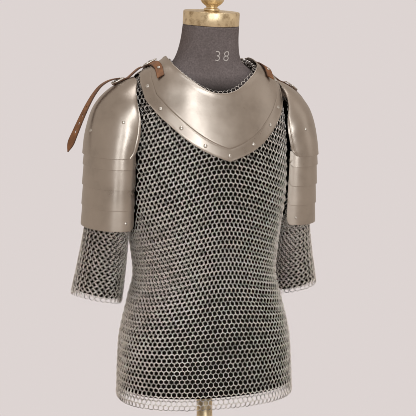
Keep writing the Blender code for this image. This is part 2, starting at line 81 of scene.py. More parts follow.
# rows of the body: length of a closed row below the chest, its upper end, the last row
knit_girth = 1.02
even_rows_top = -0.02
rows_top = 0.078
neck_row_drop = 0.005
neck_clear = 0.0105
panel_split = -0.33
# first share, last share and columns of rings around the arm in each band of a sleeve
sleeve_bands = ((0.03, 0.24, 92), (0.24, 0.50, 70), (0.50, 1.00, 56))
# first share and span of the dark sheet of painted shade inside a sleeve, its place inside the rings and its
# thickness
shade_sheet_start = 0.05
shade_sheet_span = 0.934
shade_sheet_inset = 0.0042
shade_sheet_thick = 0.0008

# widths of the gorget's borders and places of its rivets across each plate, from -1 to 1
front_border = 0.0255
back_border = 0.020
end_border = 0.012
front_rivets = (-0.785, -0.65, -0.46, -0.25, 0.01, 0.26, 0.50, 0.67, 0.82)
back_rivets = (-0.88, -0.6, -0.3, 0.0, 0.3, 0.6, 0.88)
# length of a dome and a lame from the middle to the front edge, a dome's length and its border's width
dome_girth = 0.139
lame_girth = 0.14
dome_length = 0.21
dome_border = 0.0064
# radii of the rivets' heads
gorget_rivet = 0.0043
dome_rivet = 0.0036
lame_rivet = 0.0033
joining_rivet = 0.0036
hanging_rivet = 0.0034

# half of a strap's thickness, height of the rivets on it, its seat and its rise over the plates
half_leather = 0.0013
strap_face = 0.0014
strap_seat = 0.0012
joining_rise = 0.0014
pauldron_rise = 0.0007
buckle_length = 0.018
buckle_width = 0.027
buckle_corner = 0.004
buckle_wire = 0.0016
keeper_wire = 0.0014
hole_radius = 0.0021
point_length = 0.024

# the photograph's width and focal length in pixels, and where its camera stood
photo_pixels = 416.0
focal_pixels = 1090.4
film_width = 36.0
camera_yaw = math.radians(20.0)
camera_pitch = math.radians(5.14)
camera_away = 2.380
camera_right = 0.0079
camera_drop = 0.0244

# height, half width, half depth, centre y of the mail's middle surface
body_rows = (
    (-0.660, 0.196, 0.150, 0.000),
    (-0.530, 0.190, 0.146, 0.000),
    (-0.430, 0.169, 0.132, 0.000),
    (-0.378, 0.157, 0.124, 0.000),
    (-0.300, 0.165, 0.127, 0.000),
    (-0.190, 0.182, 0.134, 0.000),
    (-0.100, 0.186, 0.129, 0.002),
    (-0.040, 0.182, 0.116, 0.002),
    (0.000, 0.172, 0.103, 0.000),
    (0.020, 0.164, 0.096, -0.002),
    (0.035, 0.156, 0.088, -0.005),
    (0.050, 0.143, 0.081, -0.008),
    (0.062, 0.123, 0.076, -0.011),
    (0.074, 0.101, 0.072, -0.014),
    (0.092, 0.077, 0.068, -0.018),
)
# the same columns for the form's neck
neck_rows = (
    (0.030, 0.1480, 0.0840, -0.004),
    (0.045, 0.128, 0.074, -0.008),
    (0.060, 0.101, 0.068, -0.012),
    (0.072, 0.083, 0.065, -0.015),
    (0.085, 0.071, 0.063, -0.019),
    (0.105, 0.064, 0.062, -0.026),
    (0.130, 0.060, 0.060, -0.034),
    (0.155, 0.0585, 0.0585, -0.041),
)
# share of the sleeve, outer edge x z, inner edge x z, half depth, centre y
sleeve_rows = (
    (0.00, 0.178, 0.0060, 0.1760, -0.2855, 0.0575, 0.000),
    (0.10, 0.202, -0.004, 0.1765, -0.2900, 0.0575, 0.002),
    (0.20, 0.219, -0.019, 0.1765, -0.2950, 0.0575, 0.005),
    (0.30, 0.233, -0.046, 0.1760, -0.3020, 0.0575, 0.008),
    (0.42, 0.242, -0.092, 0.1755, -0.3120, 0.0575, 0.013),
    (0.55, 0.247, -0.160, 0.1755, -0.3280, 0.0600, 0.019),
    (0.68, 0.253, -0.235, 0.1755, -0.3500, 0.0590, 0.026),
    (0.84, 0.267, -0.325, 0.1765, -0.3900, 0.0580, 0.037),
    (1.00, 0.286, -0.418, 0.1800, -0.4400, 0.0580, 0.047),
)
# share across, x, height of the outer edge of the front and back gorget plates
gorget_front_edge = (
    (0.00, 0.000, -0.133),
    (0.20, 0.042, -0.117),
    (0.38, 0.080, -0.094),
    (0.55, 0.113, -0.063),
    (0.70, 0.139, -0.030),
    (0.82, 0.152, 0.000),
    (0.92, 0.152, 0.025),
    (1.00, 0.147, 0.046),
)
gorget_back_edge = (
    (0.00, 0.000, -0.074),
    (0.30, 0.062, -0.070),
    (0.55, 0.113, -0.050),
    (0.75, 0.144, -0.018),
    (0.90, 0.152, 0.020),
    (1.00, 0.147, 0.046),
)
# top x z, centre x z, half depth, half angle of the dome's arcs
dome_rows = (
    (0.160, 0.045, 0.163, -0.010, 0.058, 38.0),
    (0.185, 0.035, 0.165, -0.022, 0.070, 74.0),
    (0.208, 0.022, 0.168, -0.036, 0.076, 92.0),
    (0.228, 0.004, 0.176, -0.052, 0.079, 101.0),
    (0.245, -0.020, 0.184, -0.068, 0.082, 105.0),
    (0.256, -0.050, 0.191, -0.086, 0.083, 107.0),
    (0.263, -0.083, 0.197, -0.101, 0.083, 109.0),
    (0.267, -0.117, 0.201, -0.117, 0.0825, 104.0),
)
# top, bottom, half width, half depth of each lame's lower edge
lame_rows = (
    (-0.105, -0.140, 0.0648, 0.0806),
    (-0.128, -0.1825, 0.0652, 0.0802),
    (-0.170, -0.2255, 0.0654, 0.0785),
    (-0.2125, -0.269, 0.0658, 0.0780),
)
# distance from the middle and height of the loose strap end on the right
loose_run = (
    (0.1890, 0.0421),
    (0.2000, 0.0404),
    (0.2140, 0.0357),
    (0.2290, 0.0260),
    (0.2420, 0.0110),
    (0.2540, -0.0080),
    (0.2650, -0.0290),
    (0.2750, -0.0500),
    (0.2840, -0.0700),
    (0.2920, -0.0880),
    (0.2970, -0.1010),
    (0.3010, -0.1120),
)
# height at the side seam, rise of a row of rings from there to the front's centre
row_arch = (
    (-0.66, 0.000),
    (-0.60, 0.003),
    (-0.435, 0.026),
    (-0.26, 0.050),
    (-0.15, 0.053),
    (0.00, 0.048),
    (0.08, 0.020),
)


def row_at(rows, key, column):
    """Smoothly interpolated value of one column of a table keyed by its first column."""
    last = len(rows) - 1
    if key <= rows[0][0]:
        return rows[0][column]
    if key >= rows[last][0]:
        return rows[last][column]
    at = 0
    while rows[at + 1][0] < key:
        at += 1

    def slope(index):
        if index <= 0 or index >= last:
            near = min(max(index, 0), last - 1)
            return (rows[near + 1][column] - rows[near][column]) / (rows[near + 1][0] - rows[near][0])
        before = (rows[index][column] - rows[index - 1][column]) / (rows[index][0] - rows[index - 1][0])
        after = (rows[index + 1][column] - rows[index][column]) / (rows[index + 1][0] - rows[index][0])
        if before * after <= 0.0:
            return 0.0
        return 2.0 * before * after / (before + after)

    width = rows[at + 1][0] - rows[at][0]
    t = (key - rows[at][0]) / width
    start = rows[at][column]
    end = rows[at + 1][column]
    lead = slope(at) * width
    trail = slope(at + 1) * width
    return (
        (2 * t**3 - 3 * t**2 + 1) * start
        + (t**3 - 2 * t**2 + t) * lead
        + (3 * t**2 - 2 * t**3) * end
        + (t**3 - t**2) * trail
    )


class SmoothTable:
    """A table of sizes sampled finely, so that whole arrays of keys can be read at once."""

    def __init__(self, rows):
        self.keys = np.linspace(rows[0][0], rows[-1][0], 900)
        self.columns = {}
        for column in range(1, len(rows[0])):
            values = [row_at(rows, key, column) for key in self.keys]
            self.columns[column] = np.array(values)

    def read(self, key, column):
        return np.interp(key, self.keys, self.columns[column])


body_table = SmoothTable(body_rows)
neck_table = SmoothTable(neck_rows)
sleeve_table = SmoothTable(sleeve_rows)
arch_table = SmoothTable(row_arch)
dome_table = SmoothTable([(k / (len(dome_rows) - 1),) + row for k, row in enumerate(dome_rows)])


def body_surface(height, phi, table=body_table):
    """Points of the shirt's middle surface; phi is 0 at the front, positive to the wearer's left."""
    half_width = table.read(height, 1)
    half_depth = table.read(height, 2)
    centre = table.read(height, 3)
    across = np.abs(np.sin(phi)) / half_width
    deep = np.abs(np.cos(phi)) / half_depth
    radius = (across**section_power + deep**section_power) ** (-1.0 / section_power)
    return np.stack([radius * np.sin(phi), centre - radius * np.cos(phi), eye_height + height], axis=-1)


def unit(vectors):
    return vectors / np.maximum(np.linalg.norm(vectors, axis=-1, keepdims=True), 1e-12)


def run_lengths(points):
    """Length along a line of points up to each of them."""
    return np.concatenate([[0.0], np.cumsum(np.linalg.norm(np.diff(points, axis=0), axis=1))])


def nearest(points, others):
    """Distance of each point from the nearest of some others."""
    return np.min(np.linalg.norm(points[:, None, :] - others[None, :, :], axis=2), axis=1)


def body_outward(height, phi, table=body_table):
    along = body_surface(height, phi + 0.01, table) - body_surface(height, phi - 0.01, table)
    up = body_surface(height + 0.003, phi, table) - body_surface(height - 0.003, phi, table)
    return unit(np.cross(along, up))


def phi_at_x(height, x):
    """Angle from the front at which the surface reaches a distance from the middle plane."""
    angles = np.linspace(0.0, math.pi / 2, 400)
    return float(np.interp(x, body_surface(np.full(400, height), angles)[:, 0], angles))


def phi_at_y(height, y):
    angles = np.linspace(0.0, math.pi, 800)
    return float(np.interp(y, body_surface(np.full(800, height), angles)[:, 1], angles))


def height_at(x, y):
    """Height of the shoulder's surface above a place in plan."""
    heights = np.linspace(-0.10, 0.088, 500)
    centre = body_table.read(heights, 3)
    phi = np.arctan2(x, centre - y)
    points = body_surface(heights, phi)
    inside = np.hypot(points[:, 0], points[:, 1] - centre) - np.hypot(x, centre - y)
    return float(np.interp(0.0, -inside, heights))


def steepness(height, phi):
    """Length of the shirt's surface for each metre of height at a place."""
    slope = body_surface(np.array([height - 0.003, height + 0.003]), np.array([phi, phi]))
    return np.linalg.norm(slope[1] - slope[0]) / 0.006


def neckline(phi):
    """Height of the shirt's neck edge at an angle from the front."""
    bend = np.abs(np.sin(phi)) ** 2
    return np.where(np.cos(phi) > 0, 0.014 + 0.072 * bend, 0.070 + 0.016 * bend)


def sleeve_surface(share, angle, side):
    """Points of a sleeve's middle surface; angle is 0 on the outer line and positive to the back."""
    outer_x = sleeve_table.read(share, 1)
    outer_z = sleeve_table.read(share, 2)
    inner_x = sleeve_table.read(share, 3)
    inner_z = sleeve_table.read(share, 4)
    depth = sleeve_table.read(share, 5)
    shift = sleeve_table.read(share, 6)
    cos = np.cos(angle)
    x = 0.5 * (outer_x + inner_x) + 0.5 * (outer_x - inner_x) * cos
    z = 0.5 * (outer_z + inner_z) + 0.5 * (outer_z - inner_z) * cos
    y = shift + depth * np.sin(angle)
    return np.stack([side * x, y, eye_height + z], axis=-1)


def dome_place(share, angle, side):
    """Point of a shoulder dome; share runs from the neck edge to the lower edge."""
    top_x = dome_table.read(share, 1)
    top_z = dome_table.read(share, 2)
    centre_x = dome_table.read(share, 3)
    centre_z = dome_table.read(share, 4)
    depth = dome_table.read(share, 5)
    x = centre_x + (top_x - centre_x) * np.cos(angle)
    z = centre_z + (top_z - centre_z) * np.cos(angle) - front_drop * np.sin(angle) * share**3
    y = 0.004 + 0.003 * share - depth * np.sin(angle)
    return Vector((side * x, y, eye_height + z))


def shoulder_middle(side):
    return Vector((side * 0.19, 0.01, eye_height - 0.09))


def dome_outward(share, angle, side):
    """Direction out of a shoulder dome at one of its places."""
    ahead = dome_place(share, angle + 0.02, side) - dome_place(share, angle - 0.02, side)
    up = dome_place(min(1.0, share + 0.01), angle, side) - dome_place(max(0.0, share - 0.01), angle, side)
    out = ahead.cross(up).normalized()
    return -out if out.dot(dome_place(share, angle, side) - shoulder_middle(side)) < 0 else out


def facing_up(direction):
    """A direction or its opposite, whichever points upwards."""
    return -direction if direction.z < 0 else direction


def lean_forward(point, height):
    """Tilt a point of the form's neck towards its leaning cap."""
    lean = max(0.0, (height - neck_foot) / neck_length)
    centre = float(neck_table.read(height, 3))
    point[2] += math.tan(form_lean) * lean * (point[1] - centre)
    return point


def soft_noise(x, y, seed):
    """Slow waves between -1 and 1, the same on every run."""
    value = math.sin(1.9 * x + 0.7 * y + seed) + math.sin(-1.1 * x + 2.3 * y + 2.1 * seed)
    value += 0.6 * math.sin(3.7 * x + 1.3 * y + 0.5 * seed) + 0.6 * math.sin(0.9 * x - 4.1 * y + 1.7 * seed)
    return value / 3.2


class MailSizes(bpy.types.PropertyGroup):
    """Sizes and colours of the rings."""

    bore: bpy.props.FloatProperty(
        name="Ring bore",
        description="Inner diameter of a ring",
        default=0.0108,
        unit="LENGTH",
    )
    wire: bpy.props.FloatProperty(
        name="Wire",
        description="Thickness of the ring's wire",
        default=0.0016,
        unit="LENGTH",
    )
    pitch: bpy.props.FloatProperty(
        name="Pitch",
        description="Distance between rings of a row",
        default=0.0102,
        unit="LENGTH",
    )
    rise: bpy.props.FloatProperty(
        name="Row rise",
        description="Distance between rows of the body",
        default=0.0093,
        unit="LENGTH",
    )
    arm_pitch: bpy.props.FloatProperty(
        name="Sleeve pitch",
        description="Distance between rings along the arm",
        default=0.0136,
        unit="LENGTH",
    )
    lean: bpy.props.FloatProperty(
        name="Lean",
        description="Tilt of the rings out of the cloth",
        default=math.radians(15),
        subtype="ANGLE",
    )
    lap: bpy.props.FloatProperty(
        name="Lap",
        description="Turn that lets a row's rings pass each other",
        default=math.radians(9),
        subtype="ANGLE",
    )
    bright: bpy.props.FloatVectorProperty(
        name="Bright steel",
        description="Colour of the cleanest rings",
        default=(0.97, 0.935, 0.905),
        subtype="COLOR",
    )
    dull: bpy.props.FloatVectorProperty(
        name="Dull steel",
        description="Colour of the dullest rings",
        default=(0.60, 0.575, 0.55),
        subtype="COLOR",
    )


class PlateSizes(bpy.types.PropertyGroup):
    """Sizes and colours of plates, straps and the form."""

    thickness: bpy.props.FloatProperty(
        name="Plate",
        description="Thickness of the plates",
        default=plate_thick,
        unit="LENGTH",
    )
    step: bpy.props.FloatProperty(
        name="Border step",
        description="Height of the border's step",
        default=0.0014,
        unit="LENGTH",
    )
    bead: bpy.props.FloatProperty(
        name="Bead",
        description="Height of the rolled edges",
        default=0.0016,
        unit="LENGTH",
    )
    strap_width: bpy.props.FloatProperty(
        name="Strap",
        description="Width of the straps",
        default=0.018,
        unit="LENGTH",
    )
    leather_thick: bpy.props.FloatProperty(
        name="Leather",
        description="Thickness of the straps",
        default=2.0 * half_leather,
        unit="LENGTH",
    )
    steel: bpy.props.FloatVectorProperty(
        name="Plate steel",
        description="Colour of the plates",
        default=(0.46, 0.41, 0.365),
        subtype="COLOR",
    )
    hide: bpy.props.FloatVectorProperty(
        name="Hide",
        description="Colour of the leather",
        default=(0.215, 0.088, 0.034),
        subtype="COLOR",
    )
    cloth: bpy.props.FloatVectorProperty(
        name="Form cloth",
        description="Colour of the dress form's cloth",
        default=(0.172, 0.150, 0.154),
        subtype="COLOR",
    )
    brass: bpy.props.FloatVectorProperty(
        name="Brass",
        description="Colour of the cap, knob and pole",
        default=(0.80, 0.66, 0.44),
        subtype="COLOR",
    )
    ground: bpy.props.FloatVectorProperty(
        name="Backdrop",
        description="Colour of the floor and backdrop",
        default=(0.723, 0.659, 0.645),
        subtype="COLOR",
    )


def mail_sizes():
    return bpy.context.scene.mail_sizes


def plate_sizes():
    return bpy.context.scene.plate_sizes


def new_material(name):
    """A node material, its tree, shader and object coordinates; one made before comes back alone."""
    made = bpy.data.materials.get(name)
    if made:
        return made, None, None, None
    made = bpy.data.materials.new(name)
    made.use_nodes = True
    tree = made.node_tree
    coords = tree.nodes.new("ShaderNodeTexCoord")
    return made, tree, tree.nodes["Principled BSDF"], coords.outputs["Object"]


def feed(tree, inputs, values):
    """Set inputs by name or number, each to a fixed value or to a link from another node."""
    for key, value in values.items():
        if isinstance(value, (float, tuple)):
            inputs[key].default_value = value
        else:
            tree.links.new(value, inputs[key])


def noise_node(tree, place, scale, detail=3.0, roughness=0.5):
    node = tree.nodes.new("ShaderNodeTexNoise")
    feed(tree, node.inputs, {"Scale": scale, "Detail": detail, "Roughness": roughness, "Vector": place})
    return node.outputs["Fac"]


def ramp_node(tree, source, stops):
    node = tree.nodes.new("ShaderNodeValToRGB")
    elements = node.color_ramp.elements
    while len(elements) < len(stops):
        elements.new(0.5)
    for element, (place, color) in zip(elements, stops):
        element.position = place
        element.color = (color[0], color[1], color[2], 1.0)
    tree.links.new(source, node.inputs["Fac"])
    return node.outputs["Color"]


def bump_node(tree, source, strength, distance, below=None):
    node = tree.nodes.new("ShaderNodeBump")
    feed(tree, node.inputs, {"Strength": strength, "Distance": distance, "Height": source})
    if below is not None:
        tree.links.new(below, node.inputs["Normal"])
    return node.outputs["Normal"]


def math_node(tree, operation, *values):
    node = tree.nodes.new("ShaderNodeMath")
    node.operation = operation
    feed(tree, node.inputs, dict(enumerate(values)))
    return node.outputs[0]


def mix_node(tree, share, first, second, blend="MIX"):
    node = tree.nodes.new("ShaderNodeMixRGB")
    node.blend_type = blend
    feed(tree, node.inputs, {"Fac": share, "Color1": first, "Color2": second})
    return node.outputs["Color"]


def range_node(tree, source, low, high, first=0.0, last=1.0, ease="LINEAR"):
    """Values from first to last laid out between low and high."""
    node = tree.nodes.new("ShaderNodeMapRange")
    node.interpolation_type = ease
    ends = {"From Min": first, "From Max": last, "To Min": low, "To Max": high}
    feed(tree, node.inputs, {"Value": source, **ends})
    return node.outputs["Result"]


def stretched(tree, place, scale):
    """Coordinates stretched for a grain that runs one way."""
    node = tree.nodes.new("ShaderNodeMapping")
    feed(tree, node.inputs, {"Scale": scale, "Vector": place})
    return node.outputs["Vector"]


def split_node(tree, place):
    node = tree.nodes.new("ShaderNodeSeparateXYZ")
    tree.links.new(place, node.inputs["Vector"])
    return node.outputs


def uv_node(tree, layer):
    node = tree.nodes.new("ShaderNodeUVMap")
    node.uv_map = layer
    return node.outputs["UV"]


def tint(color, amount):
    return tuple(max(0.0, min(1.0, part * amount)) for part in color)


def ring_steel():
    """Tumbled steel wire: each ring has its own tone, kept in an attribute together with painted shade on the
    ring's deeper side and painted highlight on its outer side.
    """
    made, tree, shader, place = new_material("ring_steel")
    if tree is None:
        return made
    sizes = mail_sizes()
    # the attribute holds each ring's own tone plus painted shade on its deeper side and painted highlight on
    # its outer side
    tone = tree.nodes.new("ShaderNodeAttribute")
    tone.attribute_name = "ring_tone_and_shade"
    grime = noise_node(tree, place, 420.0, 2.0)
    mixed = math_node(tree, "MULTIPLY_ADD", grime, 0.30, tone.outputs["Fac"])
    # the darkest stop is the near-black painted shade deep in the mail; the top stop also takes the painted
    # highlight on the rings' outer sides
    dull = [(0.05, tint(sizes.dull, 0.12)), (0.40, sizes.dull)]
    bright = [(0.66, sizes.bright), (1.0, tint(sizes.bright, 1.15))]
    looks = {
        "Base Color": ramp_node(tree, mixed, dull + bright),
        "Roughness": range_node(tree, mixed, 0.46, 0.28),
        "Metallic": 1.0,
    }
    feed(tree, shader.inputs, looks)
    return made


def plate_steel():
    """Satin plate steel: fine brushing, slow smudges and small brown specks."""
    made, tree, shader, place = new_material("plate_steel")
    if tree is None:
        return made
    color = plate_sizes().steel
    smudge = noise_node(tree, place, 14.0, 5.0, 0.6)
    tones = ramp_node(tree, smudge, [(0.25, tint(color, 0.80)), (0.5, color), (0.78, tint(color, 1.12))])
    specks = ramp_node(tree, noise_node(tree, place, 160.0, 4.0, 0.7), [(0.66, (0, 0, 0)), (0.76, (1, 1, 1))])
    soft_specks = math_node(tree, "MULTIPLY", specks, 0.45)
    brushing = noise_node(tree, stretched(tree, place, (1.0, 1.0, 0.06)), 900.0, 3.0, 0.6)
    fine = bump_node(tree, brushing, 0.06, 0.0004)
    looks = {
        "Base Color": mix_node(tree, soft_specks, tones, (0.20, 0.15, 0.105, 1.0)),
        "Roughness": range_node(tree, smudge, 0.24, 0.40, 0.25, 0.75),
        "Normal": bump_node(tree, noise_node(tree, place, 22.0, 2.0), 0.10, 0.004, fine),
        "Metallic": 1.0,
    }
    feed(tree, shader.inputs, looks)
    return made


def bright_steel():
    """Polished fittings: rivets and buckles."""
    made, tree, shader, place = new_material("bright_steel")
    if tree is None:
        return made
    wear = noise_node(tree, place, 240.0, 4.0)
    looks = {
        "Base Color": ramp_node(tree, wear, [(0.3, (0.50, 0.47, 0.43)), (0.7, (0.74, 0.72, 0.69))]),
        "Roughness": range_node(tree, wear, 0.16, 0.34),
        "Metallic": 1.0,
    }
    feed(tree, shader.inputs, looks)
    return made


def strap_leather():
    """Waxed brown leather with grain; its UV map runs across the strap to darken the burnished edges."""
    made, tree, shader, place = new_material("strap_leather")
    if tree is None:
        return made
    color = plate_sizes().hide
    light = (color[0] * 1.6, color[1] * 1.75, color[2] * 1.8)
    patches = noise_node(tree, place, 60.0, 5.0, 0.6)
    tones = ramp_node(tree, patches, [(0.25, tint(color, 0.62)), (0.5, color), (0.75, light)])
    middle = math_node(tree, "SUBTRACT", split_node(tree, uv_node(tree, "strap"))["Y"], 0.5)
    reach = math_node(tree, "ABSOLUTE", middle)
    edge = ramp_node(tree, reach, [(0.40, (1, 1, 1)), (0.47, (0.45, 0.42, 0.40))])
    grain = tree.nodes.new("ShaderNodeTexVoronoi")
    feed(tree, grain.inputs, {"Scale": 900.0, "Vector": place})
    pebble = bump_node(tree, grain.outputs["Distance"], 0.35, 0.0003)
    looks = {
        "Base Color": mix_node(tree, 1.0, tones, edge, "MULTIPLY"),
        "Roughness": range_node(tree, patches, 0.38, 0.62),
        "Normal": bump_node(tree, noise_node(tree, place, 240.0, 4.0), 0.25, 0.0008, pebble),
    }
    feed(tree, shader.inputs, looks)
    return made


def form_cloth():
    """Plain woven cover of the dress form on its UV map, with painted shade that makes it nearly black below
    the neck, where the mail covers it.
    """
    made, tree, shader, place = new_material("form_weave")
    if tree is None:
        return made
    color = plate_sizes().cloth
    uv = uv_node(tree, "weave")
    threads = []
    for direction in ("X", "Y"):
        wave = tree.nodes.new("ShaderNodeTexWave")
        wave.bands_direction = direction
        feed(tree, wave.inputs, {"Scale": 260.0, "Distortion": 0.6, "Vector": uv})
        threads.append(wave.outputs["Fac"])
    weave = math_node(tree, "MULTIPLY", threads[0], threads[1])
    mixed = math_node(tree, "MULTIPLY_ADD", weave, 0.45, noise_node(tree, place, 300.0, 4.0))
    tones = ramp_node(tree, mixed, [(0.2, tint(color, 0.65)), (0.55, color), (0.95, tint(color, 1.55))])
    fades = noise_node(tree, place, 18.0, 4.0)
    aged = ramp_node(tree, fades, [(0.3, (0.85, 0.84, 0.83)), (0.7, (1.0, 1.0, 1.0))])
    worn = mix_node(tree, 1.0, tones, aged, "MULTIPLY")
    # painted shade: below the neck, where the mail lies over the form, the cloth fades to a near-black colour
    height = split_node(tree, place)["Z"]
    clear_of_painted_shade = range_node(tree, height, 0.0, 1.0, eye_height + 0.010, eye_height + 0.050)
    looks = {
        "Base Color": mix_node(tree, clear_of_painted_shade, (0.0125, 0.0108, 0.0095, 1.0), worn),
        "Normal": bump_node(tree, mixed, 0.5, 0.0004),
        "Roughness": 1.0,
        "Specular IOR Level": 0.02,
    }
    feed(tree, shader.inputs, looks)
    return made


def shade_sheet_black():
    """Nearly black sheet with a fine cloth-like grain, painted shade behind the sleeves' rings."""
    made, tree, shader, place = new_material("shade_sheet_black")
    if tree is None:
        return made
    threads = noise_node(tree, place, 900.0, 3.0)
    looks = {
        "Base Color": ramp_node(tree, threads, [(0.3, (0.008, 0.007, 0.006)), (0.7, (0.020, 0.017, 0.015))]),
        "Normal": bump_node(tree, threads, 0.4, 0.0004),
        "Roughness": 0.95,
        "Specular IOR Level": 0.1,
    }
    feed(tree, shader.inputs, looks)
    return made


def aged_brass():
    """Brushed brass with brown tarnish."""
    made, tree, shader, place = new_material("aged_brass")
    if tree is None:
        return made
    color = plate_sizes().brass
    tarnish = noise_node(tree, place, 55.0, 6.0, 0.65)
    stops = [(0.28, (0.30, 0.20, 0.10)), (0.5, color), (0.75, tint(color, 1.2))]
    turning = noise_node(tree, stretched(tree, place, (0.05, 0.05, 1.0)), 1500.0, 2.0)
    looks = {
        "Base Color": ramp_node(tree, tarnish, stops),
        "Normal": bump_node(tree, turning, 0.15, 0.0003),
        "Roughness": range_node(tree, tarnish, 0.22, 0.48),
        "Metallic": 1.0,
    }
    feed(tree, shader.inputs, looks)
    return made


def foot_wood():
    """Dark stained wood of the round foot."""
    made, tree, shader, place = new_material("foot_wood")
    if tree is None:
        return made
    grain = noise_node(tree, stretched(tree, place, (1.0, 9.0, 9.0)), 6.0, 7.0, 0.65)
    stops = [(0.3, (0.045, 0.024, 0.014)), (0.5, (0.10, 0.055, 0.03)), (0.7, (0.17, 0.10, 0.055))]
    looks = {
        "Base Color": ramp_node(tree, grain, stops),
        "Normal": bump_node(tree, grain, 0.12, 0.001),
        "Roughness": 0.34,
        "Coat Weight": 0.3,
    }
    feed(tree, shader.inputs, looks)
    return made


def white_print():
    """Chalky white print on cloth."""
    made, tree, shader, place = new_material("white_print")
    if tree is None:
        return made
    chalk = noise_node(tree, place, 700.0, 3.0)
    tones = ramp_node(tree, chalk, [(0.3, (0.38, 0.36, 0.355)), (0.6, (0.66, 0.63, 0.62))])
    feed(tree, shader.inputs, {"Base Color": tones, "Roughness": 0.8})
    return made


def place_object(name, mesh, look, smooth=True, body="root"):
    """Link a finished mesh at the origin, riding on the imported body."""
    mesh.materials.clear()
    mesh.materials.append(look)
    mesh.polygons.foreach_set("use_smooth", [smooth] * len(mesh.polygons))
    made = bpy.data.objects.new(name, mesh)
    bpy.context.scene.collection.objects.link(made)
    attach(made, body)
    return made


def finish_bmesh(name, bm, look, smooth=True):
    mesh = bpy.data.meshes.new(name)
    bm.to_mesh(mesh)
    bm.free()
    return place_object(name, mesh, look, smooth)


def one_ring():
    """Corner points and faces of a ring in the XY plane, spun from its wire's section."""
    sizes = mail_sizes()
    reach = 0.5 * (sizes.bore + sizes.wire)
    bm = bmesh.new()
    turn = Matrix.Translation((reach, 0, 0)) @ Matrix.Rotation(math.radians(90), 4, "X")
    turn = turn @ Matrix.Rotation(math.radians(45), 4, "Z")
    radius = section_share * sizes.wire
    start = bmesh.ops.create_circle(bm, cap_ends=False, segments=4, radius=radius, matrix=turn)
    geometry = start["verts"] + list({edge for vert in start["verts"] for edge in vert.link_edges})
    bmesh.ops.spin(
        bm,
        geom=geometry,
        cent=(0, 0, 0),
        axis=(0, 0, 1),
        angle=math.tau,
        steps=9,
        use_merge=True,
        use_duplicate=False,
    )
    bmesh.ops.remove_doubles(bm, verts=bm.verts, dist=1e-6)
    bmesh.ops.recalc_face_normals(bm, faces=bm.faces)
    bm.verts.index_update()
    points = np.array([tuple(vert.co) for vert in bm.verts])
    faces = np.array([[vert.index for vert in face.verts] for face in bm.faces])
    bm.free()
    return points, faces


def knit(name, centres, along, outward, leans, tones):
    """Join one ring for each centre into a piece; each ring leans about its row and laps its neighbour."""
    sizes = mail_sizes()
    points, faces = one_ring()
    along = unit(along)
    outward = unit(outward)
    down = np.cross(outward, along)
    lean = (leans * sizes.lean)[:, None]
    lap = np.full((len(centres), 1), sizes.lap)
    tilted_out = outward * np.cos(lean) + down * np.sin(lean)
    tilted_down = down * np.cos(lean) - outward * np.sin(lean)
    ring_out = tilted_out * np.cos(lap) + along * np.sin(lap)
    ring_along = along * np.cos(lap) - tilted_out * np.sin(lap)
    count = len(centres)
    corners = centres[:, None, :]
    corners = corners + points[None, :, 0:1] * ring_along[:, None, :]
    corners = corners + points[None, :, 1:2] * tilted_down[:, None, :]
    corners = corners + points[None, :, 2:3] * ring_out[:, None, :]
    flipped = np.sum(np.cross(ring_along, tilted_down) * ring_out, axis=1) < 0
    loops = faces[None, :, :] + (np.arange(count) * len(points))[:, None, None]
    loops[flipped] = loops[flipped][:, :, ::-1]
    mesh = bpy.data.meshes.new(name)
    mesh.vertices.add(count * len(points))
    mesh.vertices.foreach_set("co", corners.reshape(-1))
    mesh.loops.add(loops.size)
    mesh.loops.foreach_set("vertex_index", loops.reshape(-1).astype(np.int32))
    face_count = loops.size // 4
    mesh.polygons.add(face_count)
    mesh.polygons.foreach_set("loop_start", np.arange(face_count, dtype=np.int32) * 4)
    mesh.update(calc_edges=True)
    mesh.validate()
    # painted shade and highlight: corners deeper than a ring's centre get a darker tone, corners further out
    # a lighter one
    depth = np.sum((corners - centres[:, None, :]) * outward[:, None, :], axis=2)
    values = tones[:, None] + np.clip(depth / painted_shade_depth, -1.0, 0.5) * painted_shade_gain
    shade = mesh.attributes.new("ring_tone_and_shade", "FLOAT", "POINT")
    shade.data.foreach_set("value", values.reshape(-1).astype(np.float32))
    return place_object(name, mesh, ring_steel())


def ring_tones(count, seed):
    """Tone of each ring; a few are odd bright or dull ones."""
    rng = np.random.default_rng(seed)
    tones = np.clip(rng.normal(0.38, 0.12, count), 0.02, 0.75)
    odd = rng.random(count)
    tones[odd > 0.985] = 0.95
    tones[odd < 0.02] = 0.20
    return tones


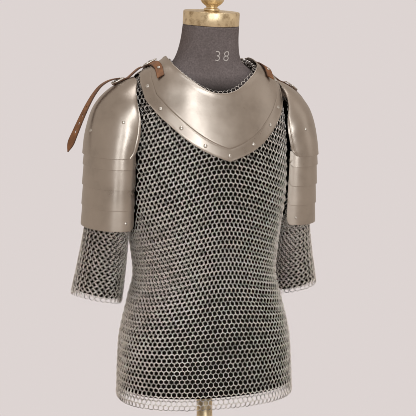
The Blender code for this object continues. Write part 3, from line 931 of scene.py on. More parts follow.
def body_lattice():
    """Places of the body's rings: rows that arch up towards the front's middle, and a neck row."""
    sizes = mail_sizes()
    rng = np.random.default_rng(38)
    centres = []
    along = []
    outward = []
    leans = []
    where = []
    around = np.linspace(-math.pi, math.pi, 721)
    armhole_middle = 0.5 * (armhole_low + armhole_high)
    armhole_half = 0.5 * (armhole_high - armhole_low)
    side_height = hem_drop + 0.004
    row = 0
    while side_height < rows_top:
        arch = arch_table.read(side_height, 1)
        front = np.cos(around) > 0
        rise = np.where(front, arch, 0.6 * arch) * np.cos(around) ** 2
        lengths = run_lengths(body_surface(side_height + rise, around))
        girth = knit_girth if side_height < even_rows_top else lengths[-1]
        count = 2 * int(round(girth / sizes.pitch / 2))
        places = (np.arange(count) + 0.5 * (row % 2)) / count * lengths[-1]
        phi = np.interp(places, lengths, around)
        lift = np.interp(places, lengths, rise)
        height = side_height + lift + rng.normal(0.0, 0.00022, count)
        points = body_surface(height, phi)
        ahead = np.interp(phi + 0.02, around, rise, period=math.tau)
        behind = np.interp(phi - 0.02, around, rise, period=math.tau)
        step = body_surface(side_height + ahead, phi + 0.02) - body_surface(side_height + behind, phi - 0.02)
        oval = (points[:, 1] / (armhole_depth + 0.002)) ** 2
        oval = oval + ((points[:, 2] - eye_height - armhole_middle) / (armhole_half + 0.002)) ** 2
        keep = (height < neckline(phi) - neck_clear) & (oval > 1.0)
        centres.append(points[keep])
        along.append(step[keep])
        outward.append(body_outward(height, phi)[keep])
        leans.append(np.full(int(keep.sum()), 1.0 if row % 2 else -1.0))
        where.append(np.stack([np.cos(phi[keep]), height[keep]], axis=1))
        if side_height > -0.03:
            side_height += sizes.rise / steepness(side_height, 1.4)
        else:
            gain = (arch_table.read(side_height + 0.002, 1) - arch_table.read(side_height - 0.002, 1)) / 0.004
            side_height += sizes.rise / (steepness(side_height + arch, 0.35) * (1.0 + gain))
        row += 1
    lengths = run_lengths(body_surface(neckline(around) - neck_row_drop, around))
    count = 2 * int(round(lengths[-1] / sizes.pitch / 2))
    phi = np.interp(np.arange(count) / count * lengths[-1], lengths, around)
    height = neckline(phi) - neck_row_drop
    centres.append(body_surface(height, phi))
    ahead = body_surface(neckline(phi + 0.02), phi + 0.02)
    along.append(ahead - body_surface(neckline(phi - 0.02), phi - 0.02))
    outward.append(body_outward(height, phi))
    leans.append(np.full(count, 1.0))
    where.append(np.stack([np.cos(phi), height], axis=1))
    return [np.concatenate(part) for part in (centres, along, outward, leans, where)]


class MAILSHIRT_OT_knit_body(bpy.types.Operator):
    """Knit the front and back of the shirt, four rings through each one"""

    bl_idname = "mailshirt.knit_body"
    bl_label = "Knit Body"

    def execute(self, context):
        centres, along, outward, leans, where = body_lattice()
        tones = ring_tones(len(centres), 7)
        front = where[:, 0] > 0
        low = where[:, 1] <= panel_split
        parts = (
            ("front_skirt_rings", "mail_front", front & low),
            ("front_chest_rings", "mail_front", front & ~low),
            ("back_skirt_rings", "mail_back", ~front & low),
            ("back_chest_rings", "mail_back", ~front & ~low),
        )
        for name, node, pick in parts:
            number = int(pick.sum())
            if number < 500:
                raise RuntimeError("too few rings in " + name)
            piece = knit(name, centres[pick], along[pick], outward[pick], leans[pick], tones[pick])
            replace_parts(piece, node)
        return {"FINISHED"}


def sleeve_lattice(side):
    """Places of a sleeve's rings in columns along the arm, at one pitch upwards from the cuff."""
    pitch = mail_sizes().arm_pitch
    centres = []
    along = []
    outward = []
    leans = []
    turns = np.linspace(0.0, math.tau, 361)
    for first, last, columns in sleeve_bands:
        shares = np.linspace(first, last, 200)
        girth_share = last if last == 1.0 else 0.5 * (first + last)
        girth = run_lengths(sleeve_surface(np.full(361, girth_share), turns, side))
        for column in range(columns):
            angle = float(np.interp(column / columns * girth[-1], girth, turns))
            lengths = run_lengths(sleeve_surface(shares, np.full(200, angle), side))
            offset = (0.25 + 0.5 * (column % 2)) * pitch
            places = np.arange(lengths[-1] - offset, 0.0, -pitch)
            share = np.interp(places, lengths, shares)
            angles = np.full(len(places), angle)
            points = sleeve_surface(share, angles, side)
            run = sleeve_surface(np.minimum(share + 0.01, 1.0), angles, side)
            run = run - sleeve_surface(share - 0.01, angles, side)
            turn = sleeve_surface(share, angles + 0.03, side) - sleeve_surface(share, angles - 0.03, side)
            facing = unit(np.cross(turn, run)) * side
            opposite = sleeve_surface(share, angles + math.pi, side)
            inward = np.sum(facing * (points - opposite), axis=1) < 0
            facing[inward] = -facing[inward]
            centres.append(points)
            along.append(run)
            outward.append(facing)
            leans.append(np.full(len(places), 1.0 if column % 2 else -1.0))
    return [np.concatenate(part) for part in (centres, along, outward, leans)]


class MAILSHIRT_OT_knit_sleeves(bpy.types.Operator):
    """Knit both sleeves with their rows of rings running along the arm, and put a dark sheet of painted shade
    inside each
    """

    bl_idname = "mailshirt.knit_sleeves"
    bl_label = "Knit Sleeves"

    def execute(self, context):
        for side, word in ((1, "left"), (-1, "right")):
            centres, along, outward, leans = sleeve_lattice(side)
            tones = ring_tones(len(centres), 11 + side)
            piece = knit("sleeve_rings_" + word, centres, along, outward, leans, tones)
            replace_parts(piece, "sleeve_" + word)
            sleeve_shade_sheet(side, word)
        return {"FINISHED"}


def sleeve_shade_sheet(side, word):
    """Thin dark sheet of painted shade behind a sleeve's rings, standing for the shade inside the sleeve,
    ending short of the cuff.
    """
    bm = bmesh.new()
    bmesh.ops.create_grid(bm, x_segments=40, y_segments=22, size=0.5)
    for vert in bm.verts:
        angle = math.tau * (vert.co.x + 0.5)
        share = shade_sheet_start + shade_sheet_span * (vert.co.y + 0.5)
        place = sleeve_surface(share, angle, side)
        middle = 0.5 * (sleeve_surface(share, 0.0, side) + sleeve_surface(share, math.pi, side))
        inward = middle - place
        vert.co = Vector(place + inward / np.linalg.norm(inward) * shade_sheet_inset)
    bmesh.ops.remove_doubles(bm, verts=bm.verts, dist=1e-5)
    elbow = 0.5 * (sleeve_surface(0.5, 0.0, side) + sleeve_surface(0.5, math.pi, side))
    turned_outward(bm, Vector(elbow))
    area = sum(face.calc_area() for face in bm.faces)
    bmesh.ops.solidify(bm, geom=list(bm.faces), thickness=shade_sheet_thick)
    bmesh.ops.recalc_face_normals(bm, faces=bm.faces)
    piece = finish_bmesh("sleeve_shade_sheet_" + word, bm, shade_sheet_black())
    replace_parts(piece, "sleeve_" + word)


def toward_ends(across):
    """Place from -1 to 1 of an even share, with the places packed together at both ends."""
    part = 2.0 * across - 1.0
    return math.copysign(1.0 - (1.0 - abs(part)) ** 1.8, part)


def plate_mesh(columns, rows, place):
    """A plate from a grid; place gives its point at (across, down) shares from 0 to 1."""
    bm = bmesh.new()
    bmesh.ops.create_grid(bm, x_segments=columns, y_segments=rows, size=0.5)
    for vert in bm.verts:
        vert.co = place(vert.co.x + 0.5, vert.co.y + 0.5)
    bm.normal_update()
    return bm


def turned_outward(bm, middle):
    """Face a plate's grid away from a point inside the body."""
    bm.normal_update()
    total = 0.0
    for face in bm.faces:
        total += face.normal.dot(face.calc_center_median() - middle) * face.calc_area()
    if total < 0:
        bmesh.ops.reverse_faces(bm, faces=bm.faces)
        bm.normal_update()


def sharp_edges(bm):
    """Edges where two faces meet at more than 60 degrees."""
    limit = math.radians(60)
    return [edge for edge in bm.edges if len(edge.link_faces) == 2 and edge.calc_face_angle(0.0) > limit]


def thicken(bm, thickness):
    """Give a plate its wall inwards and soften its rim."""
    bmesh.ops.solidify(bm, geom=list(bm.faces), thickness=thickness)
    bmesh.ops.recalc_face_normals(bm, faces=bm.faces)
    bm.normal_update()
    bmesh.ops.bevel(
        bm,
        geom=sharp_edges(bm),
        offset=0.0004,
        affect="EDGES",
        segments=2,
        profile=0.5,
        material=-1,
        offset_type="OFFSET",
    )


def ridge(away, height, width):
    """Height of a smooth ridge, or of a groove where it is negative, away from its own line."""
    return height * np.exp(-((away / width) ** 2))


def step_up(past, height):
    """Height of a soft step, reached just past its line."""
    return height / (1.0 + np.exp(-np.clip(past / 0.0005, -40, 40)))


class GorgetPlate:
    """One gorget plate as columns of places from the neck edge to the outer edge."""

    def __init__(self, front):
        self.front = front
        self.border = front_border if front else back_border
        self.edge_rows = gorget_front_edge if front else gorget_back_edge
        columns = np.linspace(-1.0, 1.0, 133)
        self.spread = np.sign(columns) * (1.0 - (1.0 - np.abs(columns)) ** 1.4)
        self.lines = [self.line(float(share)) for share in self.spread]
        self.edge = np.array([self.surface(k, np.array([1.0]))[0] for k in range(len(self.lines))])
        down = np.linspace(0.0, 1.0, 60)
        ends = [self.surface(0, down), self.surface(len(self.lines) - 1, down)]
        self.ends = np.concatenate(ends)

    def line(self, share):
        across = abs(share)
        bend = min(1.0, abs(math.sin(min(1.0, 1.08 * across) * math.pi / 2))) ** 2.2
        top = (0.008 if self.front else 0.061) + (0.075 if self.front else 0.022) * bend
        low = row_at(self.edge_rows, across, 2)
        far = min(phi_at_x(low, row_at(self.edge_rows, across, 1)), phi_at_y(low, -0.004))
        sign = 1.0 if share >= 0 else -1.0
        if self.front:
            near = across * phi_at_y(top, -0.004)
            far += sign * gorget_skew * (1.0 - across**2)
        else:
            near = math.pi - across * (math.pi - phi_at_y(top, 0.004))
            far = math.pi - min(far, math.pi - phi_at_y(low, 0.004))
        return top, low, sign * near, sign * far

    def surface(self, column, down):
        top, low, near, far = self.lines[column]
        return body_surface(top + (low - top) * down, near + (far - near) * down)

    def facing(self, column, down):
        top, low, near, far = self.lines[column]
        return body_outward(top + (low - top) * down, near + (far - near) * down)

    def rows(self, column):
        """Places down a column, packed together at the neck edge, at the crease and at the outer edge."""
        fine = np.linspace(0.0, 1.0, 241)
        points = self.surface(column, fine)
        gap = nearest(points, self.edge)
        run = run_lengths(points)
        steps = (0.0, 0.0006, 0.0014, 0.0024, 0.0036, 0.0058, 0.0100, 0.0150, 0.0200)
        crease = (-0.0022, -0.0014, -0.0008, -0.0003, 0.0003, 0.0009, 0.0016, 0.0030, 0.0055)
        outer = [float(np.interp(-value, -gap, fine)) for value in steps]
        outer += [float(np.interp(-(self.border + value), -gap, fine)) for value in crease]
        inner = [float(np.interp(value, run, fine)) for value in (0.0, 0.0007, 0.0016, 0.0028, 0.0048)]
        middle = list(np.linspace(inner[-1], min(outer), 12)[1:-1])
        return np.array(inner + middle + sorted(outer))

    def relief(self, column, down):
        """Height of the outer face above the plate's seat at places of a column."""
        sizes = plate_sizes()
        points = self.surface(column, down)
        gap = nearest(points, self.edge)
        side = nearest(points, self.ends)
        run = run_lengths(points)
        inset = np.minimum(gap, side + self.border - end_border)
        height = step_up(inset - self.border, sizes.step)
        height += ridge(inset - self.border + 0.0010, -0.0005, 0.0009)
        height += ridge(gap - 0.0012, 0.6 * sizes.bead, 0.0013)
        height += ridge(run - 0.0016, 0.9 * sizes.bead, 0.0018)
        stand_off = end_lift * abs(self.spread[column]) ** 8 * down**2
        waves = [0.00025 * soft_noise(55 * p[2], 30 * p[0], 2.0) for p in points]
        return height + stand_off + np.array(waves)


class MAILSHIRT_OT_gorget(bpy.types.Operator):
    """Raise the gorget's front and back plates with their stepped borders and rivets"""

    bl_idname = "mailshirt.gorget"
    bl_label = "Gorget"

    def execute(self, context):
        sizes = plate_sizes()
        lift = mail_half + plate_seat + sizes.thickness
        heads = []
        for front, word in ((True, "front"), (False, "back")):
            plate = GorgetPlate(front)
            count = len(plate.lines)
            levels = [plate.rows(k) for k in range(count)]
            grid = []
            for k in range(count):
                reach = lift + plate.relief(k, levels[k])
                grid.append(plate.surface(k, levels[k]) + plate.facing(k, levels[k]) * reach[:, None])
            rows = len(levels[0]) - 1

            def place(across, down):
                return Vector(grid[int(round(across * (count - 1)))][int(round(down * rows))])

            bm = plate_mesh(count - 1, rows, place)
            turned_outward(bm, Vector((0, 0, eye_height - 0.05)))
            thicken(bm, sizes.thickness)
            piece = finish_bmesh("gorget_" + word + "_plate", bm, plate_steel())
            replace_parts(piece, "gorget_" + word)
            for mark in front_rivets if front else back_rivets:
                k = int(np.argmin(np.abs(plate.spread - mark)))
                fine = np.linspace(0.5, 1.0, 200)
                points = plate.surface(k, fine)
                gap = nearest(points, plate.edge)
                down = np.array([float(np.interp(-0.46 * plate.border, -gap, fine))])
                out = plate.facing(k, down)[0]
                foot = plate.surface(k, down)[0] + out * (lift + 0.0002)
                heads.append((Vector(foot), Vector(out), gorget_rivet))
        rivet_heads("gorget_rivets", heads)
        return {"FINISHED"}


def rivet_heads(name, heads):
    """Join low domed rivet heads, each given by its foot, direction and radius."""
    bm = bmesh.new()
    for foot, direction, radius in heads:
        turn = direction.to_track_quat("Z", "Y").to_matrix().to_4x4()
        place = Matrix.Translation(foot) @ turn @ Matrix.Diagonal((1.0, 1.0, 0.52, 1.0))
        made = bmesh.ops.create_uvsphere(bm, u_segments=18, v_segments=10, radius=radius, matrix=place)
        cut = [vert for vert in made["verts"] if (vert.co - foot).dot(direction) < -0.0004]
        for vert in cut:
            depth = (vert.co - foot).dot(direction)
            vert.co -= direction * (depth + 0.0004)
    bmesh.ops.remove_doubles(bm, verts=bm.verts, dist=1e-6)
    bmesh.ops.recalc_face_normals(bm, faces=bm.faces)
    return finish_bmesh(name, bm, bright_steel())


def dome_skin(across, down, side):
    """Point of a dome's outer face, with its stepped border, groove and slow dents."""
    sizes = plate_sizes()
    down = 1.0 - (1.0 - down) ** 1.3
    part = toward_ends(across)
    angle = part * math.radians(float(dome_table.read(down, 6)))
    share = down - 0.038 * max(0.0, (abs(part) - 0.92) / 0.08) ** 2 * down**10
    depth = dome_girth * (1.0 - abs(part))
    raised = step_up(dome_border - depth, 0.0005)
    raised += ridge(depth - dome_border - 0.0010, -0.0006, 0.0009)
    raised += ridge(depth - 0.0014, 0.2 * sizes.bead, 0.0016)
    raised += ridge(down * dome_length - 0.002, 0.7 * sizes.bead, 0.002)
    raised += 0.0003 * soft_noise(9 * down, 3 * angle, 1.0 + side)
    reach = 0.5 * sizes.thickness + float(raised)
    return dome_place(share, angle, side) + dome_outward(share, angle, side) * reach


def lame_place(row, across, down, side, out=0.0):
    """Point of a lame, lifted out of its middle face; row is its line of lame_rows."""
    top, bottom, half_width, half_depth = row
    part = toward_ends(across)
    angle = part * lame_limit
    height = top + (bottom - top) * down
    tuck = -0.0032 * (1.0 - down) + out
    centre_x = 0.201 - 0.012 * (height + 0.125)
    centre_y = 0.007 - 0.11 * (height + 0.125)
    corner = 0.012 * max(0.0, (abs(part) - 0.93) / 0.07) ** 2 * down**4
    x = centre_x + (half_width + tuck) * math.cos(angle)
    y = centre_y - (half_depth + tuck) * math.sin(angle)
    z = height - front_drop * math.sin(angle) + corner
    return Vector((side * x, y, eye_height + z))


def lame_skin(row, across, down, side):
    """Point of a lame's outer face, its rows packed at the lower edge."""
    sizes = plate_sizes()
    front = lame_girth * (1.0 - abs(toward_ends(across)))
    reach = 0.5 * sizes.thickness + float(ridge(front - 0.0015, 0.15 * sizes.bead, 0.0015))
    return lame_place(row, across, 1.0 - (1.0 - down) ** 1.6, side, reach)


class MAILSHIRT_OT_pauldrons(bpy.types.Operator):
    """Raise both shoulder domes and their lames, with rolled front edges and rivets"""

    bl_idname = "mailshirt.pauldrons"
    bl_label = "Pauldrons"

    def execute(self, context):
        for side, word in ((1, "left"), (-1, "right")):
            skin = plate_mesh(108, 46, lambda across, down: dome_skin(across, down, side))
            self.plate(skin, shoulder_middle(side), "shoulder_dome_" + word, "dome_" + word)
            for index, row in enumerate(lame_rows):
                skin = plate_mesh(80, 12, lambda across, down: lame_skin(row, across, down, side))
                middle = Vector((side * 0.201, 0.015, eye_height + 0.5 * (row[0] + row[1])))
                tail = "%d_%s" % (index + 1, word)
                self.plate(skin, middle, "lame_plate_" + tail, "lame_" + tail)
            heads = []
            front_share = 0.545 if side < 0 else 0.65
            for share, degrees in ((front_share, 71.0), (0.78, 16.0), (front_share, -71.0)):
                angle = math.radians(degrees)
                out = dome_outward(share, angle, side)
                heads.append((dome_place(share, angle, side) + out * (0.5 * plate_thick), out, dome_rivet))
            for across in (0.82, 0.18):
                base = lame_place(lame_rows[3], across, 0.70, side)
                out = (lame_place(lame_rows[3], across, 0.70, side, 0.01) - base).normalized()
                heads.append((base + out * (0.5 * plate_thick), out, lame_rivet))
            rivet_heads("pauldron_rivets_" + word, heads)
        return {"FINISHED"}

    def plate(self, skin, middle, name, node):
        """Thicken one plate away from a point inside the arm and dress its node with it."""
        turned_outward(skin, middle)
        thicken(skin, plate_sizes().thickness)
        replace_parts(finish_bmesh(name, skin, plate_steel()), node)


def smooth_path(points, count):
    """Evenly spaced points on a smooth curve through the given ones."""
    source = np.array([tuple(point) for point in points])
    fine = []
    last = len(source) - 1
    for k in range(last):
        p0 = source[max(k - 1, 0)]
        p1 = source[k]
        p2 = source[k + 1]
        p3 = source[min(k + 2, last)]
        bend = 2 * p0 - 5 * p1 + 4 * p2 - p3
        twist = 3 * p1 - p0 - 3 * p2 + p3
        for t in np.linspace(0, 1, 12, endpoint=False):
            fine.append(0.5 * (2 * p1 + (p2 - p0) * t + bend * t**2 + twist * t**3))
    fine.append(source[last])
    fine = np.array(fine)
    lengths = run_lengths(fine)
    places = np.linspace(0.0, lengths[-1], count)
    even = np.stack([np.interp(places, lengths, fine[:, k]) for k in range(3)], axis=1)
    return even, float(lengths[-1])


def leather_strap(name, points, across, node, pointed, holes=(), twist=0.0):
    """A strap with rounded edges, a pointed end if asked for, and punched holes along its middle."""
    sizes = plate_sizes()
    columns = 10
    rows = 71
    path, length = smooth_path(points, rows + 1)
    across = Vector(across).normalized()
    bm = bmesh.new()
    bmesh.ops.create_grid(bm, x_segments=columns, y_segments=rows, size=0.5)
    layer = bm.loops.layers.uv.new("strap")
    shares = {vert: (vert.co.x + 0.5, vert.co.y + 0.5) for vert in bm.verts}
    for face in bm.faces:
        for loop in face.loops:
            side_share, run_share = shares[loop.vert]
            loop[layer].uv = (run_share * length / sizes.strap_width, side_share)
    for vert in bm.verts:
        side_share, run_share = shares[vert]
        index = min(rows, int(round(run_share * rows)))
        centre = Vector(path[index])
        ahead = Vector(path[min(index + 1, rows)]) - Vector(path[max(index - 1, 0)])
        up = ahead.cross(across).normalized()
        if up.z < 0 and abs(up.z) > 0.2:
            up = -up
        width = sizes.strap_width
        left = (1.0 - run_share) * length
        if pointed and left < point_length:
            width *= max(0.12, 1.0 - ((point_length - left) / 0.0245) ** 1.7)
        angle = twist * run_share**1.5
        turn = across * math.cos(angle) + up * math.sin(angle)
        vert.co = centre + turn * ((side_share - 0.5) * width)
    bm.normal_update()
    if sum(face.normal.z for face in bm.faces) < 0:
        bmesh.ops.reverse_faces(bm, faces=bm.faces)
        bm.normal_update()
    drops = [Vector(path[min(rows, int(round(place / length * rows)))]) for place in holes]
    gone = []
    for face in bm.faces:
        middle = face.calc_center_median()
        if any((middle - drop).length < hole_radius for drop in drops):
            gone.append(face)
    bmesh.ops.delete(bm, geom=gone, context="FACES")
    for vert in bm.verts:
        vert.co += vert.normal * (0.5 * sizes.leather_thick)
    bmesh.ops.solidify(bm, geom=list(bm.faces), thickness=sizes.leather_thick)
    bmesh.ops.recalc_face_normals(bm, faces=bm.faces)
    sharp = sharp_edges(bm)
    bmesh.ops.bevel(bm, geom=sharp, offset=0.0006, affect="EDGES", segments=2, profile=0.5, material=-1)
    piece = finish_bmesh(name, bm, strap_leather())
    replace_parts(piece, node)


def body_top(x, y, lift):
    """Point above the shoulder at a place in plan, lifted along the surface's normal."""
    height = height_at(x, y)
    phi = math.atan2(x, float(body_table.read(height, 3)) - y)
    base = body_surface(np.array([height]), np.array([phi]))[0]
    out = body_outward(np.array([height]), np.array([phi]))[0]
    return Vector(base + out * lift)


def joining_path(side):
    """Run of the strap that joins the gorget's plates over one shoulder."""
    lift = mail_half + plate_seat + plate_thick + strap_seat + joining_rise + half_leather
    path = []
    for k in range(11):
        y = -0.066 + 0.108 * k / 10
        point = body_top(0.117, y, lift + 0.06 * max(0.0, -y - 0.03))
        path.append(Vector((side * point.x, point.y, point.z)))
    return path


def pauldron_path(side):
    """Run of the strap that hangs a pauldron, from the gorget over the top of the dome."""
    lift = mail_half + plate_seat + plate_thick + strap_seat + pauldron_rise + half_leather
    path = []
    for x in (0.1285, 0.1395) if side < 0 else (0.1195, 0.1285, 0.1395):
        point = body_top(x, 0.0, lift + 0.25 * abs(x - 0.1275))
        path.append(Vector((side * point.x, 0.008, point.z)))
    last = 0.56 if side > 0 else 0.24
    for k in range(1, 9):
        share = 0.02 + (last - 0.02) * k / 8
        top = Vector((dome_table.read(share, 1), 0.0, dome_table.read(share, 2)))
        centre = Vector((dome_table.read(share, 3), 0.0, dome_table.read(share, 4)))
        point = centre + (top - centre).normalized() * ((top - centre).length + 0.0028)
        path.append(Vector((side * point.x, 0.008, point.z + eye_height)))
    return path


def strap_buckle(name, centre, along, across, node, keeper=None):
    """A bent-wire frame with a roller and a tongue over it, and a second plain frame as keeper."""
    along = Vector(along).normalized()
    across = Vector(across)
    across = (across - along * across.dot(along)).normalized()
    up = facing_up(along.cross(across))
    path = []
    for qx, qy, start in ((1, 1, 0), (-1, 1, 90), (-1, -1, 180), (1, -1, 270)):
        for k in range(7):
            angle = math.radians(start + 15 * k)
            x = qx * (0.5 * buckle_length - buckle_corner) + buckle_corner * math.cos(angle)
            y = qy * (0.5 * buckle_width - buckle_corner) + buckle_corner * math.sin(angle)
            path.append(centre + along * x + across * y)
    bm = bmesh.new()
    tube_along(bm, path, buckle_wire, 10, True, up)
    if keeper:
        tube_along(bm, [place + Vector(keeper) for place in path], keeper_wire, 10, True, up)
    front = centre + along * (0.5 * buckle_length)
    roller = [front + across * (0.0085 * share) for share in (-1, -0.5, 0, 0.5, 1)]
    tube_along(bm, roller, 0.0023, 12, False, up)
    bar = centre - along * (0.5 * buckle_length)
    tongue = []
    for k in range(9):
        share = k / 8
        tongue.append(bar + along * (buckle_length * 1.06 * share) + up * (0.0030 - 0.0012 * share))
    tube_along(bm, tongue, 0.0012, 8, False, up)
    bmesh.ops.recalc_face_normals(bm, faces=bm.faces)
    piece = finish_bmesh(name, bm, bright_steel())
    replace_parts(piece, node)


def wire_loop(ring):
    """Edges that join a section's own corners."""
    return {edge for vert in ring for edge in vert.link_edges if edge.other_vert(vert) in ring}


def tube_along(bm, path, radius, sides, closed, up):
    """Sweep a round wire along points and cap its ends."""
    rings = []
    count = len(path)
    for k in range(count):
        if closed:
            ahead = path[(k + 1) % count] - path[k - 1]
        else:
            ahead = path[min(k + 1, count - 1)] - path[max(k - 1, 0)]
        ahead.normalize()
        side = ahead.cross(up).normalized()
        rise = side.cross(ahead).normalized()
        matrix = Matrix((side, rise, ahead)).transposed().to_4x4()
        matrix.translation = path[k]
        made = bmesh.ops.create_circle(bm, cap_ends=False, segments=sides, radius=radius, matrix=matrix)
        rings.append(made["verts"])
    spans = count if closed else count - 1
    for k in range(spans):
        edges = wire_loop(rings[k]) | wire_loop(rings[(k + 1) % count])
        bmesh.ops.bridge_loops(bm, edges=list(edges))
    if not closed:
        for ring in (rings[0], rings[-1]):
            bmesh.ops.contextual_create(bm, geom=list(wire_loop(ring)))


class MAILSHIRT_OT_straps(bpy.types.Operator):
    """Cut the leather straps and hang their buckles and rivets"""

    bl_idname = "mailshirt.straps"
    bl_label = "Straps"

    def execute(self, context):
        heads = []
        level = Vector((0, 1, 0))
        for side, word in ((1, "left"), (-1, "right")):
            slope = Vector((side * 0.016, 0.0, height_at(0.125, 0.0) - height_at(0.109, 0.0))).normalized()
            over = joining_path(side)
            leather_strap("joining_leather_" + word, over, slope, "joining_strap_" + word, False)
            run = pauldron_path(side)
            holes = (0.05, 0.062) if side > 0 else ()
            node = "pauldron_strap_" + word
            leather_strap("pauldron_leather_" + word, run, level, node, side > 0, holes)
            along = over[7] - over[5]
            spot = over[6] + facing_up(along.cross(slope).normalized()) * (half_leather + buckle_wire)
            strap_buckle("joining_frame_" + word, spot, along, slope, "joining_buckle_" + word)
            place = 6 if side > 0 else 7
            along = run[place + 1] - run[place - 1]
            spot = run[place] + facing_up(along.cross(level).normalized()) * (half_leather + keeper_wire)
            node = "pauldron_buckle_" + word
            strap_buckle("pauldron_frame_" + word, spot, along, level, node, run[place - 1] - run[place])
            for index in (1, 9):
                up = facing_up((over[index + 1] - over[index - 1]).cross(slope).normalized())
                heads.append((over[index] + up * strap_face, up, joining_rivet))
            up = facing_up((run[1] - run[0]).cross(level).normalized())
            heads.append((0.5 * (run[0] + run[1]) + up * strap_face, up, hanging_rivet))
        loose = [Vector((-x, 0.008, eye_height + z)) for x, z in loose_run]
        holes = (0.10, 0.118, 0.136, 0.154)
        leather_strap("loose_end_right", loose, level, "free_strap_right", True, holes, loose_twist)
        rivet_heads("strap_rivets", heads)
        return {"FINISHED"}


def turned_piece(name, profile, foot, lean, look, node, steps=96):
    """Spin a profile of (radius, height) pairs about its own axis and lean it forward."""
    bm = bmesh.new()
    verts = [bm.verts.new((radius, 0.0, height)) for radius, height in profile]
    edges = [bm.edges.new((verts[k], verts[k + 1])) for k in range(len(verts) - 1)]
    bmesh.ops.spin(
        bm,
        geom=verts + edges,
        cent=(0, 0, 0),
        axis=(0, 0, 1),
        angle=math.tau,
        steps=steps,
        use_merge=True,
    )
    bmesh.ops.remove_doubles(bm, verts=bm.verts, dist=1e-6)
    bmesh.ops.recalc_face_normals(bm, faces=bm.faces)
    bmesh.ops.transform(bm, matrix=Matrix.Translation(foot) @ Matrix.Rotation(lean, 4, "X"), verts=bm.verts)
    piece = finish_bmesh(name, bm, look)
    bevel = piece.modifiers.new("soft edges", "BEVEL")
    bevel.width = 0.0006
    bevel.segments = 2
    bevel.limit_method = "ANGLE"
    bevel.angle_limit = math.radians(50)
    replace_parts(piece, node)


class MAILSHIRT_OT_dress_form(bpy.types.Operator):
    """Cover the dress form in cloth and turn its cap, knob, pole and foot"""

    bl_idname = "mailshirt.dress_form"
    bl_label = "Dress Form"

    def execute(self, context):
        bottom = hem_drop + 0.022
        heights = list(np.linspace(bottom, 0.028, 70)) + list(np.linspace(0.030, 0.155, 40))
        rows = len(heights) - 1
        bm = bmesh.new()
        bmesh.ops.create_grid(bm, x_segments=96, y_segments=rows, size=0.5)
        layer = bm.loops.layers.uv.new("weave")
        spots = {}
        for vert in bm.verts:
            spots[vert] = (vert.co.x + 0.5, heights[int(round((vert.co.y + 0.5) * rows))])
        for face in bm.faces:
            for loop in face.loops:
                across, height = spots[loop.vert]
                loop[layer].uv = (across * 0.9, height)
        for vert, (across, height) in spots.items():
            phi = np.array([math.tau * across])
            level = np.array([height])
            if height < 0.0295:
                inset = -(mail_half + 0.0024)
                point = body_surface(level, phi)[0] + body_outward(level, phi)[0] * inset
            else:
                point = lean_forward(body_surface(level, phi, neck_table)[0], height)
            vert.co = Vector(point)
        bmesh.ops.remove_doubles(bm, verts=bm.verts, dist=1e-5)
        rims = [edge for edge in bm.edges if edge.is_boundary]
        bmesh.ops.edgeloop_fill(bm, edges=rims)
        bmesh.ops.recalc_face_normals(bm, faces=bm.faces)
        piece = finish_bmesh("form_cover", bm, form_cloth())
        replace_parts(piece, "form_body")
        axis = Vector((0.0, -math.sin(form_lean), math.cos(form_lean)))
        cap_foot = Vector((0.0, -0.041, eye_height + 0.155)) + axis * 0.0003
        cap = ((0.0, 0.0), (0.0590, 0.0), (0.0600, 0.0012), (0.0600, 0.0268), (0.0585, 0.0290), (0.0, 0.0300))
        turned_piece("cap_band", cap, cap_foot, form_lean, aged_brass(), "neck_cap")
        knob = (
            (0.0, 0.0),
            (0.0165, 0.0),
            (0.0170, 0.0015),
            (0.0165, 0.0040),
            (0.0125, 0.0056),
            (0.0115, 0.0072),
            (0.0130, 0.0092),
            (0.0170, 0.0120),
            (0.0215, 0.0158),
            (0.0247, 0.0205),
            (0.0262, 0.0262),
            (0.0257, 0.0318),
            (0.0235, 0.0370),
            (0.0198, 0.0416),
            (0.0146, 0.0452),
            (0.0080, 0.0474),
            (0.0, 0.0480),
        )
        knob_foot = cap_foot + axis * 0.0303
        turned_piece("cap_knob", knob, knob_foot, form_lean, aged_brass(), "neck_knob", 64)
        radius = 0.205
        height = 0.022
        foot = (
            (0.0, 0.0),
            (radius - 0.003, 0.0),
            (radius, 0.003),
            (radius, height - 0.008),
            (radius - 0.002, height - 0.004),
            (radius - 0.008, height),
            (0.0, height),
        )
        turned_piece("round_foot", foot, Vector((0, 0, 0)), 0.0, foot_wood(), "stand_base", 128)
        low = height + 0.0003
        high = eye_height + bottom - 0.0003
        pole = (
            (0.0, low),
            (0.034, low),
            (0.034, low + 0.005),
            (0.030, low + 0.008),
            (0.0175, low + 0.012),
            (0.0175, high - 0.001),
            (0.0165, high),
            (0.0, high),
        )
        turned_piece("pole_tube", pole, Vector((0, 0, 0)), 0.0, aged_brass(), "stand_pole", 64)
        size_number()
        return {"FINISHED"}


